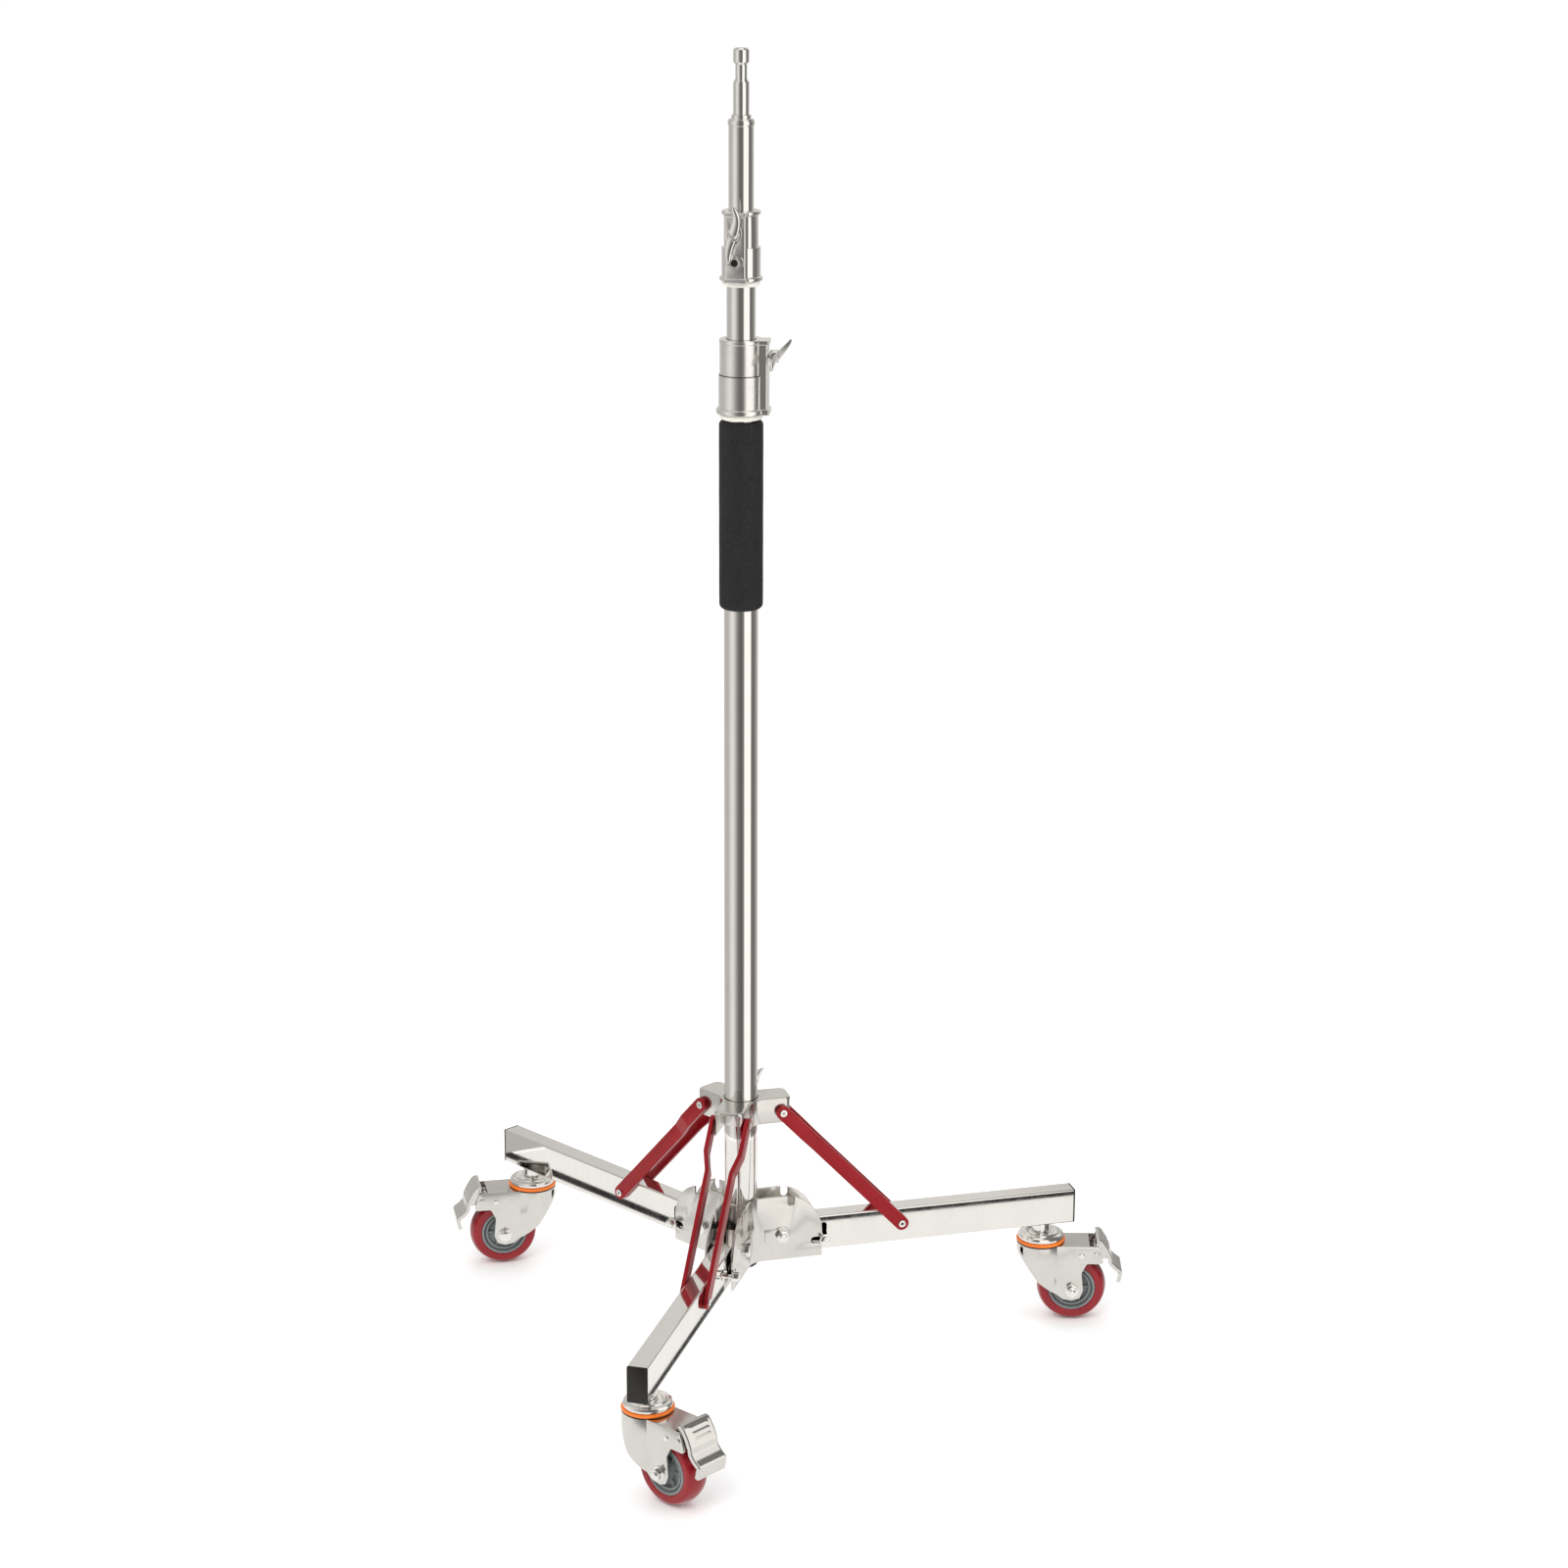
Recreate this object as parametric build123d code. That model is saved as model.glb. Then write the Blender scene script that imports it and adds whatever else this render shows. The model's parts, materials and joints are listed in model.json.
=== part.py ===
"""Rolling folding-base light stand: a three-stage stainless column on a hub with three folding legs."""
from build123d import *
import math
import os

# ---------------------------------------------------------------- driving dimensions (mm)
LEG_NAMES = ("a", "b", "c")
LEG_ANGLES = {"a": 0.0, "b": 120.0, "c": 240.0}
CASTER_ANGLES = {"a": -16.65, "b": 176.55, "c": 302.25}   # direction in which each wheel trails its stem

RUN = 0.07              # radial running clearance of a pin or a sliding bush
FACE_GAP = 0.4          # clearance between flat faces that move past each other

# column, from the hub up
COLUMN_R, COLUMN_BORE = 17.5, 16.0
COLUMN_FOOT, COLUMN_TOP = 103.0, 1064.0
RISER_1_R, RISER_1_BORE = 14.5, 13.2
RISER_1_FOOT, RISER_1_TOP = 200.0, 1190.0
RISER_2_R, RISER_2_BORE = 12.5, 11.3
RISER_2_FOOT, RISER_2_TOP = 320.0, 1300.0
GUIDE_LENGTH = 32.0     # nylon foot guide at the bottom of each riser

GRIP_R, GRIP_LOW, GRIP_HIGH = 22.3, 817.0, 1010.0

# hub and leg brackets
HUB_LOW, HUB_HIGH = 105.0, 176.5
HUB_SLEEVE_R = 18.6
PLATE_MID, PLATE_T = 14.3, 2.5
BEND_R = 22.0           # middle radius of the bend between two plates of one wing
PIVOT_R, PIVOT_Z = 41.0, 133.0
SECTOR_R = 44.5         # arc of the bracket plate about the pivot
LATCH_R = 37.4          # a locked pin's distance from the pivot
LATCH_DROP = 10.0       # height of the locked pin below the pivot
NOTCH_W = 7.6
PIN_R = 3.2

# legs
LEG_W, LEG_H, LEG_WALL = 21.0, 38.0, 1.5
LEG_CORNER = 1.6
LEG_LOW = 110.0
LEG_INNER, LEG_TIP = 28.0, 371.0
CAP_T = 2.0
STEM_AT = 338.0         # caster stem, out from the column's axis

# braces and the sliding spider
BRACE_LEG = (174.8, 131.5)      # lower rivet: out from the axis, height
SPIDER_PIN_R, SPIDER_PIN_Z = 41.0, 273.5
BRACE_W, BRACE_T = 15.0, 4.2
BRACE_WIDE, BRACE_NARROW = 35.0, 56.0   # joggle of a bar, measured down from its upper pin
SPIDER_LOW, SPIDER_HIGH = 261.5, 289.0
SPIDER_REACH = 51.5
FLANGE_MID, FLANGE_T = 14.7, 2.6
SPIDER_SLEEVE_R = 21.0
SPIDER_BEND_R = 18.0
SPIDER_CORNER = 8.0
SPIDER_ROLL = 2.6
RIVET_R, RIVET_BORE, RIVET_HEAD_R = 2.6, 1.3, 4.0

# caster
WHEEL_R, WHEEL_W, CORE_R = 37.5, 26.0, 25.5
TRAIL = 34.5
FORK_HALF, FORK_WALL = 19.5, 2.4
FORK_TOP = 89.0
SEAL_LOW, SEAL_HIGH, SEAL_R = 89.5, 93.0, 26.7
RACE_TOP = 102.0
STEM_R, KINGPIN_R = 9.5, 6.0
AXLE_R = 4.0
PEDAL_PIVOT = (60.0, 80.0)      # back from the stem, height

# clamp levers: (direction round the column, height, distance of the boss face from the axis)
UPPER_CLAMP = (-118.5, 1197.0, 25.0)
LOWER_CLAMP = (-21.0, 1074.0, 27.5)
SPIDER_CLAMP = (60.0, 275.0, 34.0)
SCREW_R = 3.5
BOSS_HALF = 10.5        # half width of a collar's flat-faced boss
RIM_EDGE = 2.2          # rounding of a collar's rolled rims

# S-shaped lever handle, seen along its screw: its middle line, and its half width along it
HANDLE_LINE = ((-5.5, -27), (-6.5, -15), (0, 0), (5.5, 15), (2.0, 30))
HANDLE_TIP, HANDLE_SWELL = 1.9, 2.6
HANDLE_STEPS = 14
LEVER_HUB_R, LEVER_HUB_H = 6.6, 8.5

# ---------------------------------------------------------------- helpers


def slab(x0, x1, y0, y1, z0, z1):
    """A box given by its two corners."""
    return Pos((x0 + x1) / 2, (y0 + y1) / 2, (z0 + z1) / 2) * Box(x1 - x0, y1 - y0, z1 - z0)


def rod_z(radius, z0, z1, x=0.0, y=0.0):
    return Pos(x, y, (z0 + z1) / 2) * Cylinder(radius, z1 - z0)


def rod_y(radius, y0, y1, x, z):
    return Pos(x, (y0 + y1) / 2, z) * Rot(90, 0, 0) * Cylinder(radius, y1 - y0)


def rod_x(radius, x0, x1, y, z):
    return Pos((x0 + x1) / 2, y, z) * Rot(0, 90, 0) * Cylinder(radius, x1 - x0)


def tube_z(outer, inner, z0, z1):
    return rod_z(outer, z0, z1) - rod_z(inner, z0, z1)


def hex_y(across, y0, y1, x, z):
    """A hexagonal head or nut along Y, by its size across the flats."""
    hexagon = RegularPolygon(across / math.sqrt(3), 6)
    return Pos(x, y1, z) * extrude(Plane.XZ * hexagon, amount=y1 - y0)


def side_extrude(sketch, y0, y1):
    """Raise a sketch drawn in X and Z between two values of Y."""
    return Pos(0, y1, 0) * extrude(Plane.XZ * sketch, amount=y1 - y0)


def polygon(points):
    return make_face(Polyline(*points, close=True))


def rounded_ring(outer, inner, z0, z1, radius):
    """A ring whose outer edges are rounded, such as a rolled rim."""
    ring = fillet(rod_z(outer, z0, z1).edges().filter_by(GeomType.CIRCLE), radius)
    return ring - rod_z(inner, z0, z1)


def turned(profile):
    """Turn a list of (radius, height) points about the column's axis."""
    return revolve(Plane.XZ * polygon(profile), Axis.Z)


def on_leg(shape, leg):
    """Carry a shape built along +X to its leg."""
    return Rot(0, 0, LEG_ANGLES[leg]) * shape


def on_caster(shape, leg):
    """Carry a shape built round a stem at the origin, trailing along +X, to its caster."""
    angle = math.radians(LEG_ANGLES[leg])
    place = Pos(STEM_AT * math.cos(angle), STEM_AT * math.sin(angle), 0)
    return place * Rot(0, 0, CASTER_ANGLES[leg]) * shape


def facing(shape, clamp):
    """Carry a shape built along +X from the column's axis to a clamp's direction and height."""
    return Pos(0, 0, clamp[1]) * Rot(0, 0, clamp[0]) * shape


def together(*solids):
    return Compound(children=[solid for group in solids for solid in group.solids()])


# ---------------------------------------------------------------- column and risers


def column_parts():
    grip = fillet(rod_z(GRIP_R, GRIP_LOW, GRIP_HIGH).edges().filter_by(GeomType.CIRCLE), 4.0)
    plug = rod_z(COLUMN_BORE, COLUMN_FOOT, COLUMN_FOOT + 18)
    plug = plug + rod_z(COLUMN_R, COLUMN_FOOT - 3, COLUMN_FOOT)
    return {
        "column_tube": tube_z(COLUMN_R, COLUMN_BORE, COLUMN_FOOT, COLUMN_TOP),
        "column_foot_plug": plug,
        "foam_grip": grip - rod_z(COLUMN_R, GRIP_LOW, GRIP_HIGH),
    }


def riser_parts():
    guide_1 = tube_z(COLUMN_BORE - RUN, RISER_1_R, RISER_1_FOOT + 4, RISER_1_FOOT + 4 + GUIDE_LENGTH)
    guide_2 = tube_z(RISER_1_BORE - RUN, RISER_2_R, RISER_2_FOOT + 4, RISER_2_FOOT + 4 + GUIDE_LENGTH)
    return {
        "riser_1_tube": tube_z(RISER_1_R, RISER_1_BORE, RISER_1_FOOT, RISER_1_TOP),
        "riser_1_foot_guide": guide_1,
        "riser_2_tube": tube_z(RISER_2_R, RISER_2_BORE, RISER_2_FOOT, RISER_2_TOP),
        "riser_2_foot_guide": guide_2,
    }


def stud_parts():
    """Rolled cap on the top riser and the turned stud that stands on it."""
    cap = rounded_ring(13.3, RISER_2_R, 1298.5, 1306.0, 2.6) + rod_z(RISER_2_R, 1300.0, 1306.0)
    cap = cap + rod_z(9.8, 1306.0, 1310.0)
    spigot = rod_z(6.0, 1285.0, 1310.0)
    neck = [(0, 1310.0), (7.94, 1310.0), (7.94, 1341.0), (5.8, 1344.5), (5.8, 1358.0),
            (7.94, 1360.5), (7.94, 1372.2), (6.2, 1374.0), (0, 1374.0)]
    return {"riser_2_cap": cap - spigot, "stud": turned(neck) + spigot}


def collar(levels, bores, boss, plunger):
    """A stepped clamp collar with a rolled rim at each end and a flat-faced boss for the clamp screw.

    levels: (bottom, rim radius, rim height, lower radius, step, upper radius, top, top rim radius)
    bores: (lower bore, upper bore, step height)
    boss: its clamp; plunger: height of the ring boss or None
    """
    low, rim_r, rim_h, lower_r, step, upper_r, top, top_r = levels
    angle, height, face = boss
    body = rounded_ring(rim_r, 1.0, low, low + rim_h, RIM_EDGE) + rod_z(lower_r, low, step)
    body = body + rod_z(upper_r, step, top) + rounded_ring(top_r, 1.0, top - 5.0, top, RIM_EDGE)
    half = BOSS_HALF
    block = fillet(slab(0, face, -half, half, low + 1.5, top - 1.0).edges().filter_by(Axis.Z), 2.0)
    rims = slab(0, face + 1.8, -half - 1.5, half + 1.5, low, low + rim_h)
    rims = rims + slab(0, face + 1.4, -half - 1.0, half + 1.0, top - 5.0, top)
    rims = fillet(rims.edges(), 1.6)
    body = body + Rot(0, 0, angle) * (block + rims)
    if plunger:
        ring = rod_x(8.8, face - 4, face + 2.4, 0, plunger)
        hole = rod_x(3.6, face - 5.0, face + 2.4, 0, plunger)
        body = body + Rot(0, 0, angle) * ring - Rot(0, 0, angle) * hole
    body = body - rod_z(bores[0], low, bores[2]) - rod_z(bores[1], bores[2], top)
    screw_hole = rod_x(SCREW_R + RUN, 0, face + 2, 0, height)
    return body - Rot(0, 0, angle) * screw_hole


def collar_parts():
    """Both clamp collars with the nylon bushes that carry them on their tubes."""
    lower_levels = (1016.0, 25.0, 6.5, 22.5, 1055.0, 21.5, 1091.0, 22.0)
    upper_levels = (1148.5, 21.6, 5.0, 19.4, 1182.0, 17.1, 1218.0, 19.6)
    lower_bores, upper_bores = (19.2, 15.4, 1070.0), (16.2, 13.3, 1193.0)
    lower = collar(lower_levels, lower_bores, LOWER_CLAMP, None)
    upper = collar(upper_levels, upper_bores, UPPER_CLAMP, 1169.0)
    lower_bush = rounded_ring(21.2, COLUMN_R, 1011.0, lower_levels[0], 1.2)
    lower_bush = lower_bush + tube_z(lower_bores[0], COLUMN_R, lower_levels[0], COLUMN_TOP)
    lower_bush = lower_bush + tube_z(lower_bores[0], RISER_1_R + RUN, COLUMN_TOP, lower_bores[2])
    upper_bush = rounded_ring(18.8, RISER_1_R, 1143.7, upper_levels[0], 1.2)
    upper_bush = upper_bush + tube_z(upper_bores[0], RISER_1_R, upper_levels[0], RISER_1_TOP)
    upper_bush = upper_bush + tube_z(upper_bores[0], RISER_2_R + RUN, RISER_1_TOP, upper_bores[2])
    return {"lower_collar": lower, "lower_collar_bush": lower_bush,
            "upper_collar": upper, "upper_collar_bush": upper_bush}


def handle_outline():
    """Outline of a lever's handle seen along its screw: an S that swells towards its middle."""
    line = Spline(*HANDLE_LINE)
    spans = []
    for index in range(HANDLE_STEPS):
        ends = []
        for along in (index / HANDLE_STEPS, (index + 1) / HANDLE_STEPS):
            radius = HANDLE_TIP + HANDLE_SWELL * math.sin(math.pi * along) ** 0.8
            ends += Circle(radius).moved(Location(line.position_at(along))).edges()
        spans.append(make_hull(ends))
    return Sketch() + spans


def lever(face, tip, lean):
    """A clamp lever on its screw: a round hub and an S-shaped handle that sweeps away from the column.

    face: distance of the boss face from the axis; tip: inner end of the screw; lean: turn of the handle
    """
    start = face + FACE_GAP
    front = Pos(start, 0, 0) * extrude(Plane.YZ * handle_outline(), amount=26)
    inner_side = [(start + 2, -29), (start + 4, -12), (start + 5, 0), (start + 8, 12), (start + 17, 31)]
    outer_side = [(start + 22, 29), (start + 13, 9), (start + 10, -2), (start + 9, -14), (start + 6, -30)]
    handle = front & side_extrude(polygon(inner_side + outer_side), -14, 14)
    hub = rod_x(LEVER_HUB_R, start, start + LEVER_HUB_H, 0, 0)
    screw = rod_x(SCREW_R, tip, start + LEVER_HUB_H + 1.0, 0, 0)
    return Rot(lean, 0, 0) * together((handle + hub) - screw, screw)


def lever_parts():
    lower = lever(LOWER_CLAMP[2] + 1.0, RISER_1_R + FACE_GAP, -58.0)
    upper = lever(UPPER_CLAMP[2] + 1.0, RISER_2_R + FACE_GAP, 0.0)
    spider = lever(SPIDER_CLAMP[2], COLUMN_R + FACE_GAP, 25.0)
    return {"lower_clamp_lever": facing(lower, LOWER_CLAMP),
            "upper_clamp_lever": facing(upper, UPPER_CLAMP),
            "spider_clamp_lever": facing(spider, SPIDER_CLAMP)}


# ---------------------------------------------------------------- hub


def star_band(mid, thickness, bend, reach):
    """Plan of one bent strip that runs along a leg's side, round a bend, and out along the next leg."""
    vertex = mid / math.cos(math.radians(30))
    near = vertex * math.cos(math.radians(60)) + bend / math.tan(math.radians(60))
    turn = Vector(vertex + bend / math.sin(math.radians(60)), 0).rotate(Axis.Z, 60)
    first = Vector(near, mid)
    last = Vector(near, -mid).rotate(Axis.Z, 120)
    middle = turn - Vector(bend, 0).rotate(Axis.Z, 60)
    line = Line((reach, mid), first) + ThreePointArc(first, middle, last)
    line = line + Line(last, Vector(reach, -mid).rotate(Axis.Z, 120))
    return make_face(offset(line, thickness / 2, side=Side.BOTH, kind=Kind.INTERSECTION).edges())


def bracket_cutter():
    """What is cut away outside a bracket plate's outline, with its two latch notches."""
    top = HUB_HIGH + 5
    corner = slab(PIVOT_R + 12, 100, -25, 25, PIVOT_Z, top) - rod_y(SECTOR_R, -25, 25, PIVOT_R, PIVOT_Z)
    corner = corner + slab(PIVOT_R + SECTOR_R, 100, -25, 25, HUB_LOW - 5, PIVOT_Z)
    latch_x = PIVOT_R + math.sqrt(LATCH_R ** 2 - LATCH_DROP ** 2)
    latch_z = PIVOT_Z - LATCH_DROP
    half = NOTCH_W / 2
    low_notch = slab(latch_x, 100, -25, 25, latch_z - half, latch_z + half)
    low_notch = low_notch + rod_y(half, -25, 25, latch_x, latch_z)
    high_x, high_z = PIVOT_R + LATCH_DROP, PIVOT_Z + latch_x - PIVOT_R
    high_notch = slab(high_x - half, high_x + half, -25, 25, high_z, top)
    high_notch = high_notch + rod_y(half, -25, 25, high_x, high_z)
    return corner + low_notch + high_notch + rod_y(4.0 + RUN, -25, 25, PIVOT_R, PIVOT_Z)


def wing_pad(side):
    """Raised pad of a bracket plate, from the bend to round its pivot bolt."""
    outer = PLATE_MID + PLATE_T / 2
    pad = Pos((22 + PIVOT_R) / 2, PIVOT_Z) * Rectangle(PIVOT_R - 22, 14) + Pos(PIVOT_R, PIVOT_Z) * Circle(9.5)
    low, high = (outer - 0.2, outer + 1.0) if side > 0 else (-outer - 1.0, -outer + 0.2)
    return side_extrude(pad, low, high)


def hub_parts():
    parts = {"hub_sleeve": tube_z(HUB_SLEEVE_R, COLUMN_R, HUB_LOW, HUB_HIGH - 4.5)}
    band = extrude(star_band(PLATE_MID, PLATE_T, BEND_R, PIVOT_R + SECTOR_R), amount=HUB_HIGH - HUB_LOW)
    band = Pos(0, 0, HUB_LOW) * band
    next_leg = Rot(0, 0, 120)
    wing = band + wing_pad(1) + next_leg * wing_pad(-1)
    wing = wing - bracket_cutter() - next_leg * bracket_cutter()
    for name in LEG_NAMES:
        parts[f"bracket_wing_{name}"] = on_leg(wing, name)
    bolts = []
    face = PLATE_MID + PLATE_T / 2 + 1.0
    inner = PLATE_MID - PLATE_T / 2
    for name in LEG_NAMES:
        bolt = rod_y(4.0, -face - 7.5, face + 5.5, PIVOT_R, PIVOT_Z)
        bolt = bolt + hex_y(13.0, face, face + 5.5, PIVOT_R, PIVOT_Z)
        bolt = bolt + hex_y(13.0, -face - 6.0, -face, PIVOT_R, PIVOT_Z)
        spacer = rod_y(8.0, LEG_W / 2 + 0.15, inner, PIVOT_R, PIVOT_Z) - rod_y(4.0, 0, 20, PIVOT_R, PIVOT_Z)
        spacers = spacer.solids() + mirror(spacer, Plane.XZ).solids()
        bolts += [on_leg(piece, name) for piece in [bolt] + spacers]
    parts["pivot_bolts"] = Compound(children=bolts)
    return parts


# ---------------------------------------------------------------- legs


def leg_tube():
    """Rectangular leg with its pivot hole, brace rivet hole and the L-shaped latch slots."""
    high = LEG_LOW + LEG_H
    bar = slab(LEG_INNER, LEG_TIP, -LEG_W / 2, LEG_W / 2, LEG_LOW, high)
    tube = fillet(bar.edges().filter_by(Axis.X), LEG_CORNER)
    tube = tube - slab(LEG_INNER, LEG_TIP, -LEG_W / 2 + LEG_WALL, LEG_W / 2 - LEG_WALL,
                       LEG_LOW + LEG_WALL, high - LEG_WALL)
    locked, parked, level = latch_places()
    half = PIN_R + 0.4
    slot = slab(locked, parked, -20, 20, level - half, level + half)
    slot = slot + slab(parked - half, parked + half, -20, 20, level, level + 14)
    for x, z in ((locked, level), (parked, level), (parked, level + 14)):
        slot = slot + rod_y(half, -20, 20, x, z)
    tube = tube - slot - rod_y(4.0 + RUN, -20, 20, PIVOT_R, PIVOT_Z)
    tube = tube - rod_y(RIVET_R + RUN, -20, 20, *BRACE_LEG)
    return tube - rod_z(KINGPIN_R, LEG_LOW - 1, LEG_LOW + 5, STEM_AT)


def latch_places():
    """Locked and released distance of a latch pin from the axis, and its height."""
    locked = PIVOT_R + math.sqrt(LATCH_R ** 2 - LATCH_DROP ** 2)
    released = PIVOT_R + math.sqrt((SECTOR_R + PIN_R + 0.9) ** 2 - LATCH_DROP ** 2)
    return locked, released, PIVOT_Z - LATCH_DROP


def leg_plugs():
    """Black plug in each open end of a leg tube."""
    high = LEG_LOW + LEG_H
    inside = (-LEG_W / 2 + LEG_WALL, LEG_W / 2 - LEG_WALL, LEG_LOW + LEG_WALL, high - LEG_WALL)
    cap = slab(LEG_TIP, LEG_TIP + CAP_T, -LEG_W / 2, LEG_W / 2, LEG_LOW, high)
    tip = fillet(cap.edges().filter_by(Axis.X), LEG_CORNER)
    tip = tip + slab(LEG_TIP - 12, LEG_TIP, *inside)
    inner = slab(LEG_INNER - 0.8, LEG_INNER + 5, *inside)
    return together(tip, inner)


def latch_pin():
    """Cross pin of one leg's latch, with a washer and a hexagonal head at each end."""
    _, released, level = latch_places()
    face = PLATE_MID + PLATE_T / 2 + FACE_GAP
    pin = rod_y(PIN_R, -face - 7.5, face + 7.5, released, level)
    for y0 in (face, -face - 1.6):
        pin = pin + rod_y(6.0, y0, y0 + 1.6, released, level)
    return pin + hex_y(8.5, face + 1.6, face + 6.6, released, level) + \
        hex_y(8.5, -face - 6.6, -face - 1.6, released, level)


def leg_parts():
    parts = {}
    for name in LEG_NAMES:
        parts[f"leg_{name}_tube"] = on_leg(leg_tube(), name)
        parts[f"leg_{name}_end_plugs"] = on_leg(leg_plugs(), name)
        parts[f"latch_pin_{name}"] = on_leg(latch_pin(), name)
    return parts


# ---------------------------------------------------------------- braces


def brace_length():
    return math.hypot(BRACE_LEG[0] - SPIDER_PIN_R, SPIDER_PIN_Z - BRACE_LEG[1])


def on_brace(shape):
    """Carry a shape built from the lower rivet along +X to the brace's slope on its leg."""
    slope = math.degrees(math.atan2(SPIDER_PIN_Z - BRACE_LEG[1], SPIDER_PIN_R - BRACE_LEG[0]))
    return Pos(BRACE_LEG[0], 0, BRACE_LEG[1]) * Rot(0, -slope, 0) * shape


def brace_bar():
    """One flat bar with round ends: close to the leg below, set out to clear the spider above."""
    length = brace_length()
    low, high = LEG_W / 2 + 0.5, FLANGE_MID + FLANGE_T / 2 + 0.6
    half = BRACE_W / 2
    inner = [(-half, low), (length - BRACE_NARROW, low), (length - BRACE_WIDE, high),
             (length + half, high)]
    outer = [(x, y + BRACE_T) for x, y in reversed(inner)]
    bends = polygon(inner + outer).vertices().filter_by_position(Axis.X, 10, length - 5)
    plan = fillet(bends, 8.0)
    bar = Pos(0, 0, -half) * extrude(plan, amount=BRACE_W)
    stadium = Pos(length / 2, 0) * SlotCenterToCenter(length, BRACE_W)
    bar = bar & side_extrude(stadium, 0, 30)
    holes = rod_y(RIVET_R, 0, 30, 0, 0) + rod_y(RIVET_R, 0, 30, length, 0)
    return bar - holes


def brace_rivets():
    """Tubular rivet across the leg and a short one at each bar's upper end."""
    length = brace_length()
    low, high = LEG_W / 2 + 0.5, FLANGE_MID + FLANGE_T / 2 + 0.6
    face = low + BRACE_T
    across = rod_y(RIVET_R, -face - 1.4, face + 1.4, 0, 0)
    across = across + rod_y(RIVET_HEAD_R, face, face + 1.4, 0, 0)
    across = across + rod_y(RIVET_HEAD_R, -face - 1.4, -face, 0, 0)
    across = across - rod_y(RIVET_BORE, -40, 40, 0, 0)
    top = high + BRACE_T
    stub = rod_y(RIVET_R, high - 0.3, top + 1.4, length, 0) + rod_y(RIVET_HEAD_R, top, top + 1.4, length, 0)
    stub = stub - rod_y(RIVET_BORE, top - 2.0, top + 5, length, 0)
    return together(across, stub, mirror(stub, Plane.XZ))


def brace_parts():
    parts = {}
    for name in LEG_NAMES:
        bars = together(brace_bar(), mirror(brace_bar(), Plane.XZ))
        parts[f"brace_{name}_bars"] = on_leg(on_brace(bars), name)
        parts[f"brace_{name}_rivets"] = on_leg(on_brace(brace_rivets()), name)
    return parts


# ---------------------------------------------------------------- spider


def spider_parts():
    """Sliding spider: one top plate with three channel lobes, a sleeve and a boss for its clamp."""
    height = SPIDER_HIGH - SPIDER_LOW
    band = star_band(FLANGE_MID, FLANGE_T, SPIDER_BEND_R, SPIDER_REACH)
    walls = Sketch() + [Rot(0, 0, LEG_ANGLES[name]) * band for name in LEG_NAMES]
    body = Pos(0, 0, SPIDER_LOW) * extrude(walls, amount=height)
    lobe = Pos(SPIDER_REACH / 2, 0) * Rectangle(SPIDER_REACH, 2 * FLANGE_MID)
    plate = Sketch() + [Rot(0, 0, LEG_ANGLES[name]) * lobe for name in LEG_NAMES] + Circle(SPIDER_SLEEVE_R)
    plate = plate + walls
    body = body + Pos(0, 0, SPIDER_HIGH - 3) * extrude(plate, amount=3)
    near_x, near_y = SPIDER_REACH - SPIDER_CORNER, FLANGE_MID + FLANGE_T / 2 - SPIDER_CORNER
    for side in (1, -1):
        low_y, high_y = sorted((side * near_y, side * 30))
        corner = slab(near_x, 80, low_y, high_y, SPIDER_LOW - 1, SPIDER_HIGH + 1)
        corner = corner - Pos(near_x, side * near_y) * rod_z(SPIDER_CORNER, SPIDER_LOW - 2, SPIDER_HIGH + 2)
        for name in LEG_NAMES:
            body = body - on_leg(corner, name)
    body = fillet(body.faces().sort_by(Axis.Z)[-1].outer_wire().edges(), SPIDER_ROLL)
    body = body + rod_z(SPIDER_SLEEVE_R, SPIDER_LOW + 1, SPIDER_HIGH)
    angle, height_of_boss, face = SPIDER_CLAMP
    block = slab(0, face - 0.4, -8.5, 8.5, SPIDER_LOW + 2, SPIDER_HIGH)
    boss = fillet(block.edges().filter_by(Axis.X), 2.0)
    body = body + Rot(0, 0, angle) * boss
    body = body - rod_z(COLUMN_R + 1.0, SPIDER_LOW, SPIDER_HIGH)
    body = body - facing(rod_x(SCREW_R + RUN, 0, face + 5, 0, 0), SPIDER_CLAMP)
    trim = slab(SPIDER_REACH - 4, 80, -30, 30, SPIDER_LOW - 1, SPIDER_LOW + 24.5)
    trim = trim - rod_y(4, -30, 30, SPIDER_REACH - 4, SPIDER_LOW + 4)
    trim = trim - slab(0, SPIDER_REACH, -30, 30, SPIDER_LOW + 4, 300)
    for name in LEG_NAMES:
        body = body - on_leg(trim, name)
    bush = tube_z(COLUMN_R + 1.0, COLUMN_R + RUN, SPIDER_LOW + 1, SPIDER_HIGH - 3)
    return {"spider": body, "spider_bush": bush - facing(rod_x(SCREW_R + 0.3, 0, 30, 0, 0), SPIDER_CLAMP)}


# ---------------------------------------------------------------- casters


def caster_stem():
    """Stem, domed upper race and kingpin, fixed to the leg."""
    dome = [(0, SEAL_HIGH + 0.1), (24.6, SEAL_HIGH + 0.1), (25.2, 95.4), (23.0, 98.6),
            (19.0, 100.4), (15.5, RACE_TOP - 1.5), (13.0, RACE_TOP - 3.4), (0, RACE_TOP - 3.4)]
    stem = rod_z(STEM_R, RACE_TOP - 3.4, LEG_LOW) + rod_z(KINGPIN_R, 84.0, LEG_LOW + 5)
    return turned(dome) + stem + rod_z(9.0, 83.4, FORK_TOP - FORK_WALL - FACE_GAP)


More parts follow.
